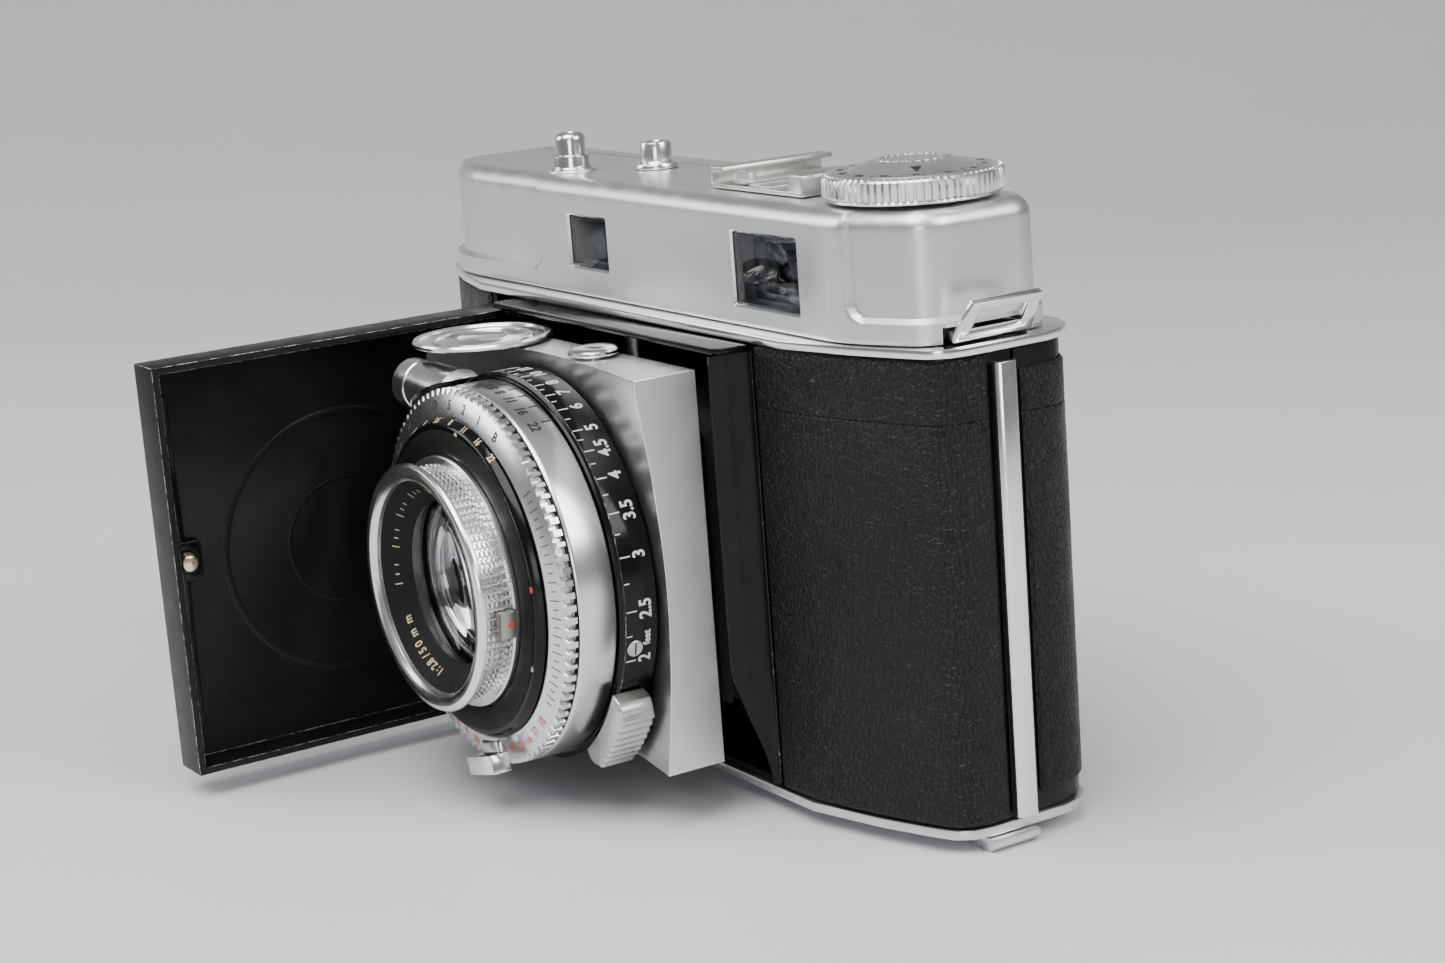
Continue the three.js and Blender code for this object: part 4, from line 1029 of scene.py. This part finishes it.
lathe("reminder_dial_ring", [(0.0, 84.42), (9.6, 84.42), (9.7, 84.5), (9.7, 84.72), (9.5, 84.86), (8.2, 84.93), (8.05, 84.98), (5.6, 85.78), (5.3, 85.86), (5.0, 85.9), (4.7, 85.98), (4.55, 86.1), (4.0, 86.1), (3.85, 85.98), (3.0, 85.9), (0.0, 85.9)], "Z", (KX, KY), SATIN, "rewind_knob", "satin_chrome", ("reminder_dial",), 60 * 6,
      lambda i, r, a, t: r - (0.34 * (0.5 + 0.5 * math.cos(24 * t)) if i in (9, 10, 11, 12) else 0), 34)


def flat_marks(name, items, mat, body, c, z):
    V, F = [], []
    for (vs, fs), t0, r0 in items:
        t0 = math.radians(t0)
        base = len(V)
        for u, v, w in vs:
            r, t = r0 + v, t0 - u / r0
            V.append((c[0] + r * math.cos(t), c[1] + r * math.sin(t), z(r) + w))
        F += [tuple(base + i for i in f_) for f_ in fs]
    return make(name, V, F, mat, body, merge=0.00005, sharp=40)


zd = lambda r: 84.86 + (9.5 - r) * 0.052
items = [(glyph(s, 1.25, 0.05, 0.85), 200.0 - 25.7 * k, 8.95) for k, s in enumerate(("10", "16", "25", "32", "40", "50", "64", "80", "100", "125", "160", "200", "400", "800"))]
items += [(bar(0.16, 0.7, 0.05, 2), 187.0 - 25.7 * k, 8.95) for k in range(14)] + [(bar(1.6, 0.1, 0.05, 5), 194.0 - 25.7 * k, 8.35) for k in range(14)]
flat_marks("dial_numbers", items, INK, "rewind_knob", (KX, KY), zd)
flat_marks("dial_pointer", [(([(-0.75, -0.6, -0.02), (0.75, -0.6, -0.02), (0.0, 0.8, -0.02), (-0.75, -0.6, 0.05), (0.75, -0.6, 0.05), (0.0, 0.8, 0.05)], [(0, 2, 1), (3, 4, 5), (0, 1, 4, 3), (1, 2, 5, 4), (2, 0, 3, 5)]), -32.0, 6.9)], INK, "rewind_knob", (KX, KY), lambda r: 85.01 + (8.05 - r) * 0.33)

lathe("release_collar_ring", fillet([(2.3, 81.15), (3.0, 81.15), (3.0, 81.5), (2.75, 81.7), (2.7, 83.3), (2.3, 83.5)], 0.12, 2), "Z", (-24.0, -7.0), POLISH, "body", "polished_chrome", ("release_collar",), 72, closed=True)
lathe("release_plunger", [(0.0, 76.4), (1.8, 76.4), (1.9, 76.5), (1.9, 80.2), (2.2, 80.5), (2.2, 85.6), (2.12, 86.0), (1.8, 86.4), (1.4, 86.58), (1.15, 86.56), (0.95, 86.3), (0.55, 86.1), (0.0, 86.0)], "Z", (-24.0, -7.0), POLISH, "release_button", "polished_chrome", ("release_button",), 72)
lathe("cable_socket_nut", [(0.0, 78.6), (1.8, 78.6), (1.9, 78.7), (1.9, 81.12), (3.1, 81.12), (3.2, 81.25), (3.2, 81.55), (3.05, 81.8), (2.45, 81.95), (2.3, 82.15), (2.3, 84.5), (2.15, 84.8), (1.9, 84.9), (1.2, 84.9), (1.0, 84.7), (0.9, 83.0), (0.0, 82.9)], "Z", (-13.6, 1.0), POLISH, "body", "polished_chrome", ("cable_socket",), 72)
lathe("release_foot_ring", fillet([(2.9, 81.02), (3.6, 81.02), (3.45, 81.3), (3.05, 81.3)], 0.06, 2), "Z", (-24.0, -7.0), SATIN, "body", "satin_chrome", (), 72, closed=True)

# ------------------------------------------------------------------ door
DONE.add("front_door")
me = NODES["front_door"].data.copy()
me.materials.clear()
bm = bmesh.new()
bm.from_mesh(me)
bmesh.ops.remove_doubles(bm, verts=bm.verts, dist=2e-6)
bmesh.ops.dissolve_limit(bm, angle_limit=math.radians(1.0), verts=bm.verts, edges=bm.edges)
bmesh.ops.recalc_face_normals(bm, faces=bm.faces)
for _f in bm.faces:
    _f.material_index = 0
bm.to_mesh(me)
bm.free()
door = finish_mesh("door_tray", me, BLACK, "front_door", ("front_door",))
edge_wear(door, RUBBED, 0.14)
rslab("door_stiffener", fillet([(-70.7, 9.0), (-70.2, 8.4), (-68.9, 8.4), (-68.5, 9.2), (-68.2, 30.0), (-68.2, 36.0), (-68.5, 56.0), (-69.0, 56.8), (-70.2, 56.8), (-70.7, 56.2)], 0.5, 3), "YZ", -34.4, -33.85, GLOSS, "front_door", (), 0.2)
plate_l = rslab("door_latch_plate", rrect(-70.6, -66.2, 30.4, 36.0, 0.8), "YZ", -33.8, -33.4, GLOSS, "front_door", (), 0.12)
cut(plate_l, [tool_cyl("X", (-68.6, 33.2), 1.75, -40, -30)])
cut(bpy.data.objects["door_stiffener"], [tool_cyl("X", (-68.6, 33.2), 1.75, -40, -30)])
lathe("door_embossed_ring", fillet([(18.2, -34.46), (19.4, -34.46), (19.1, -34.38), (18.5, -34.38)], 0.06, 2), "X", (-43.5, AX), BLACK, "front_door", "black_enamel", (), 128, closed=True)
lathe("door_embossed_inner", fillet([(8.6, -34.46), (9.3, -34.46), (9.15, -34.4), (8.75, -34.4)], 0.04, 2), "X", (-43.5, AX), BLACK, "front_door", "black_enamel", (), 96, closed=True)

# ------------------------------------------------------------------ pleated bellows
DONE.add("bellows")
rings, NPL = [], 15
ys = [-20.6 + 30.7 * k / (2 * NPL) for k in range(2 * NPL + 1)]


def sq_ring(hx, y, cut_=1.6):
    hz = hx - 2.0
    o = fillet([(-hx, -hz), (hx, -hz), (hx, hz), (-hx, hz)], cut_, 3)
    return [(p[0], y, AX + p[1]) for p in o]


for k, y in enumerate(ys):
    rings.append(sq_ring(21.5 if k % 2 == 0 else 20.5, y))
for k, y in reversed(list(enumerate(ys))):
    rings.append(sq_ring(20.9 if k % 2 == 0 else 19.9, y))
rings.append(rings[0])
v, f = loops(rings, (False, False))
bel = make("bellows_pleated", v, f, CLOTH, "body", ("bellows",), sharp=20)
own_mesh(bel)

# ------------------------------------------------------------------ rims that need their own rubbed edges, and crisp flats
for nm, mat, wr, wd in (("back_door", BLACK, RUBBED_SOFT, 0.16), ("door_leather", LEATHER, RUBBED_SOFT, 0.14)):
    ob = dress(nm, mat, 0, name="skin_" + nm)
    edge_wear(ob, wr, wd)
hs = dress("lens_housing", HOUSE, 0, name="housing_skin")
edge_wear(hs, POLISH, 0.16)
hs.data.set_sharp_from_angle(angle=math.radians(9))

# accessory shoe: thin rolled rails on a low plate, a stop block on the right rail and a sprung tab
DONE.update(("accessory_shoe", "shoe_spring"))
SX0, SX1, SY0, SY1 = 14.8, 36.4, -8.0, 9.6
rslab("shoe_plate", rrect(SX0, SX1, SY0, SY1, 0.6), "XY", 81.16, 81.75, WORN, "body", ("accessory_shoe",), 0.12)
for nm, x, sgn in (("left", SX0, 1), ("right", SX1, -1)):
    sec = [(x, 81.6), (x, 83.5), (x + sgn * 0.25, 83.85), (x + sgn * 0.6, 83.95), (x + sgn * 3.2, 83.95), (x + sgn * 3.3, 83.8), (x + sgn * 3.3, 83.35), (x + sgn * 3.1, 83.25), (x + sgn * 0.95, 83.25), (x + sgn * 0.75, 83.1), (x + sgn * 0.75, 81.6)]
    if sgn > 0:
        sec = sec[::-1]
    rslab("shoe_rail_" + nm, sec, "XZ", SY0, SY1, WORN, "body", (), 0.1)
rslab("shoe_stop", rrect(SX1 - 3.2, SX1 - 0.05, 81.7, 83.9, 0.25), "XZ", SY0 - 0.02, SY0 + 2.2, SATIN, "body", (), 0.15)
leaf = [(-7.6, 82.0), (8.4, 82.0), (8.4, 82.3), (-5.4, 82.3), (-5.9, 82.55), (-6.0, 83.25), (-6.25, 83.45), (-6.9, 83.45), (-7.15, 83.2), (-7.2, 82.5), (-7.6, 82.4)]
rslab("shoe_leaf", leaf, "YZ", SX0 + 5.2, SX0 + 8.2, SATIN, "body", ("shoe_spring",), 0.08)
rslab("shoe_leaf_low", fillet([(-7.7, 81.8), (8.0, 81.8), (8.0, 82.05), (-7.7, 82.05)], 0.05, 2), "YZ", SX0 + 8.9, SX0 + 14.0, SATIN, "body", (), 0.06)

# ------------------------------------------------------------------ every other node gets its finish and rounded edges
LOOKS = {
    "body_casting": (BLACK, 0.15), "base_plate": (SATIN, 0.25), "trim_band": (POLISH, 0.3), "end_strip_right": (POLISH, 0.15), "foot_right": (SATIN, 0.2),
    "end_strip_left": (POLISH, 0.15), "foot_left": (SATIN, 0.2), "tripod_boss": (WORN, 0.2), "top_cover": (SATIN, 0.6), "viewfinder_window": (PANE, 0),
    "rangefinder_window": (PANE, 0), "viewfinder_mask": (DUSK, 0.1), "beam_splitter": (PANE, 0), "rangefinder_mirror": (POLISH, 0), "eyepiece_ring": (GLOSS, 0.15),
    "eyepiece_lens": (PANE, 0), "accessory_shoe": (WORN, 0.15), "shoe_spring": (WORN, 0.08), "release_collar": (POLISH, 0.15), "cable_socket": (POLISH, 0.15),
    "strap_lug_right": (POLISH, 0.15), "strap_lug_left": (POLISH, 0.15), "film_gate": (MATTE, 0.15), "door_hinge_pin_lower": (WORN, 0.1), "door_hinge_pin_upper": (WORN, 0.1),
    "back_hinge_pin": (WORN, 0.1), "front_door": (EDGED, 0.15), "door_leather": (LEATHER, 0.2), "latch_button": (BRASS, 0.1), "lens_housing": (HOUSE, 0.15),
    "strut_disc": (POLISH, 0.1), "shutter_barrel": (TURNED, 0.15), "focus_ring": (GLOSS, 0.15), "focus_grip": (WORN, 0.15), "speed_ring": (TURNED, 0.1),
    "aperture_ring": (GLOSS, 0.1), "ev_lever": (POLISH, 0.1), "front_cell": (TURNED, 0.1), "index_tab": (TAB, 0.1), "front_element": (LENS, 0), "shutter_blades": (MATTE, 0),
    "rear_element": (LENS, 0), "sync_socket": (POLISH, 0.15), "timer_lever": (WORN, 0.1), "close_button_top": (POLISH, 0.1), "close_button_bottom": (POLISH, 0.1),
    "back_door": (EDGED, 0.15), "back_leather": (LEATHER, 0.2), "pressure_plate": (MATTE, 0.1), "back_release_ring": (SATIN, 0.15), "advance_lever": (SATIN, 0.15),
    "take_up_spool": (GLOSS, 0.2), "sprocket_shaft": (WORN, 0.1), "rewind_collar": (WORN, 0.1), "rewind_knob": (POLISH, 0.15), "reminder_dial": (SATIN, 0.1),
    "release_button": (POLISH, 0.1), "front_leather_right": (LEATHER, 0.2), "front_leather_left": (LEATHER, 0.2), "bellows": (CLOTH, 0),
}
for _n, (_mat, _bev) in LOOKS.items():
    if _n in DONE or NODES[_n].hide_render:
        continue
    if _bev:
        dress(_n, _mat, _bev, name="skin_" + _n)
    else:
        carried(_n, _mat)
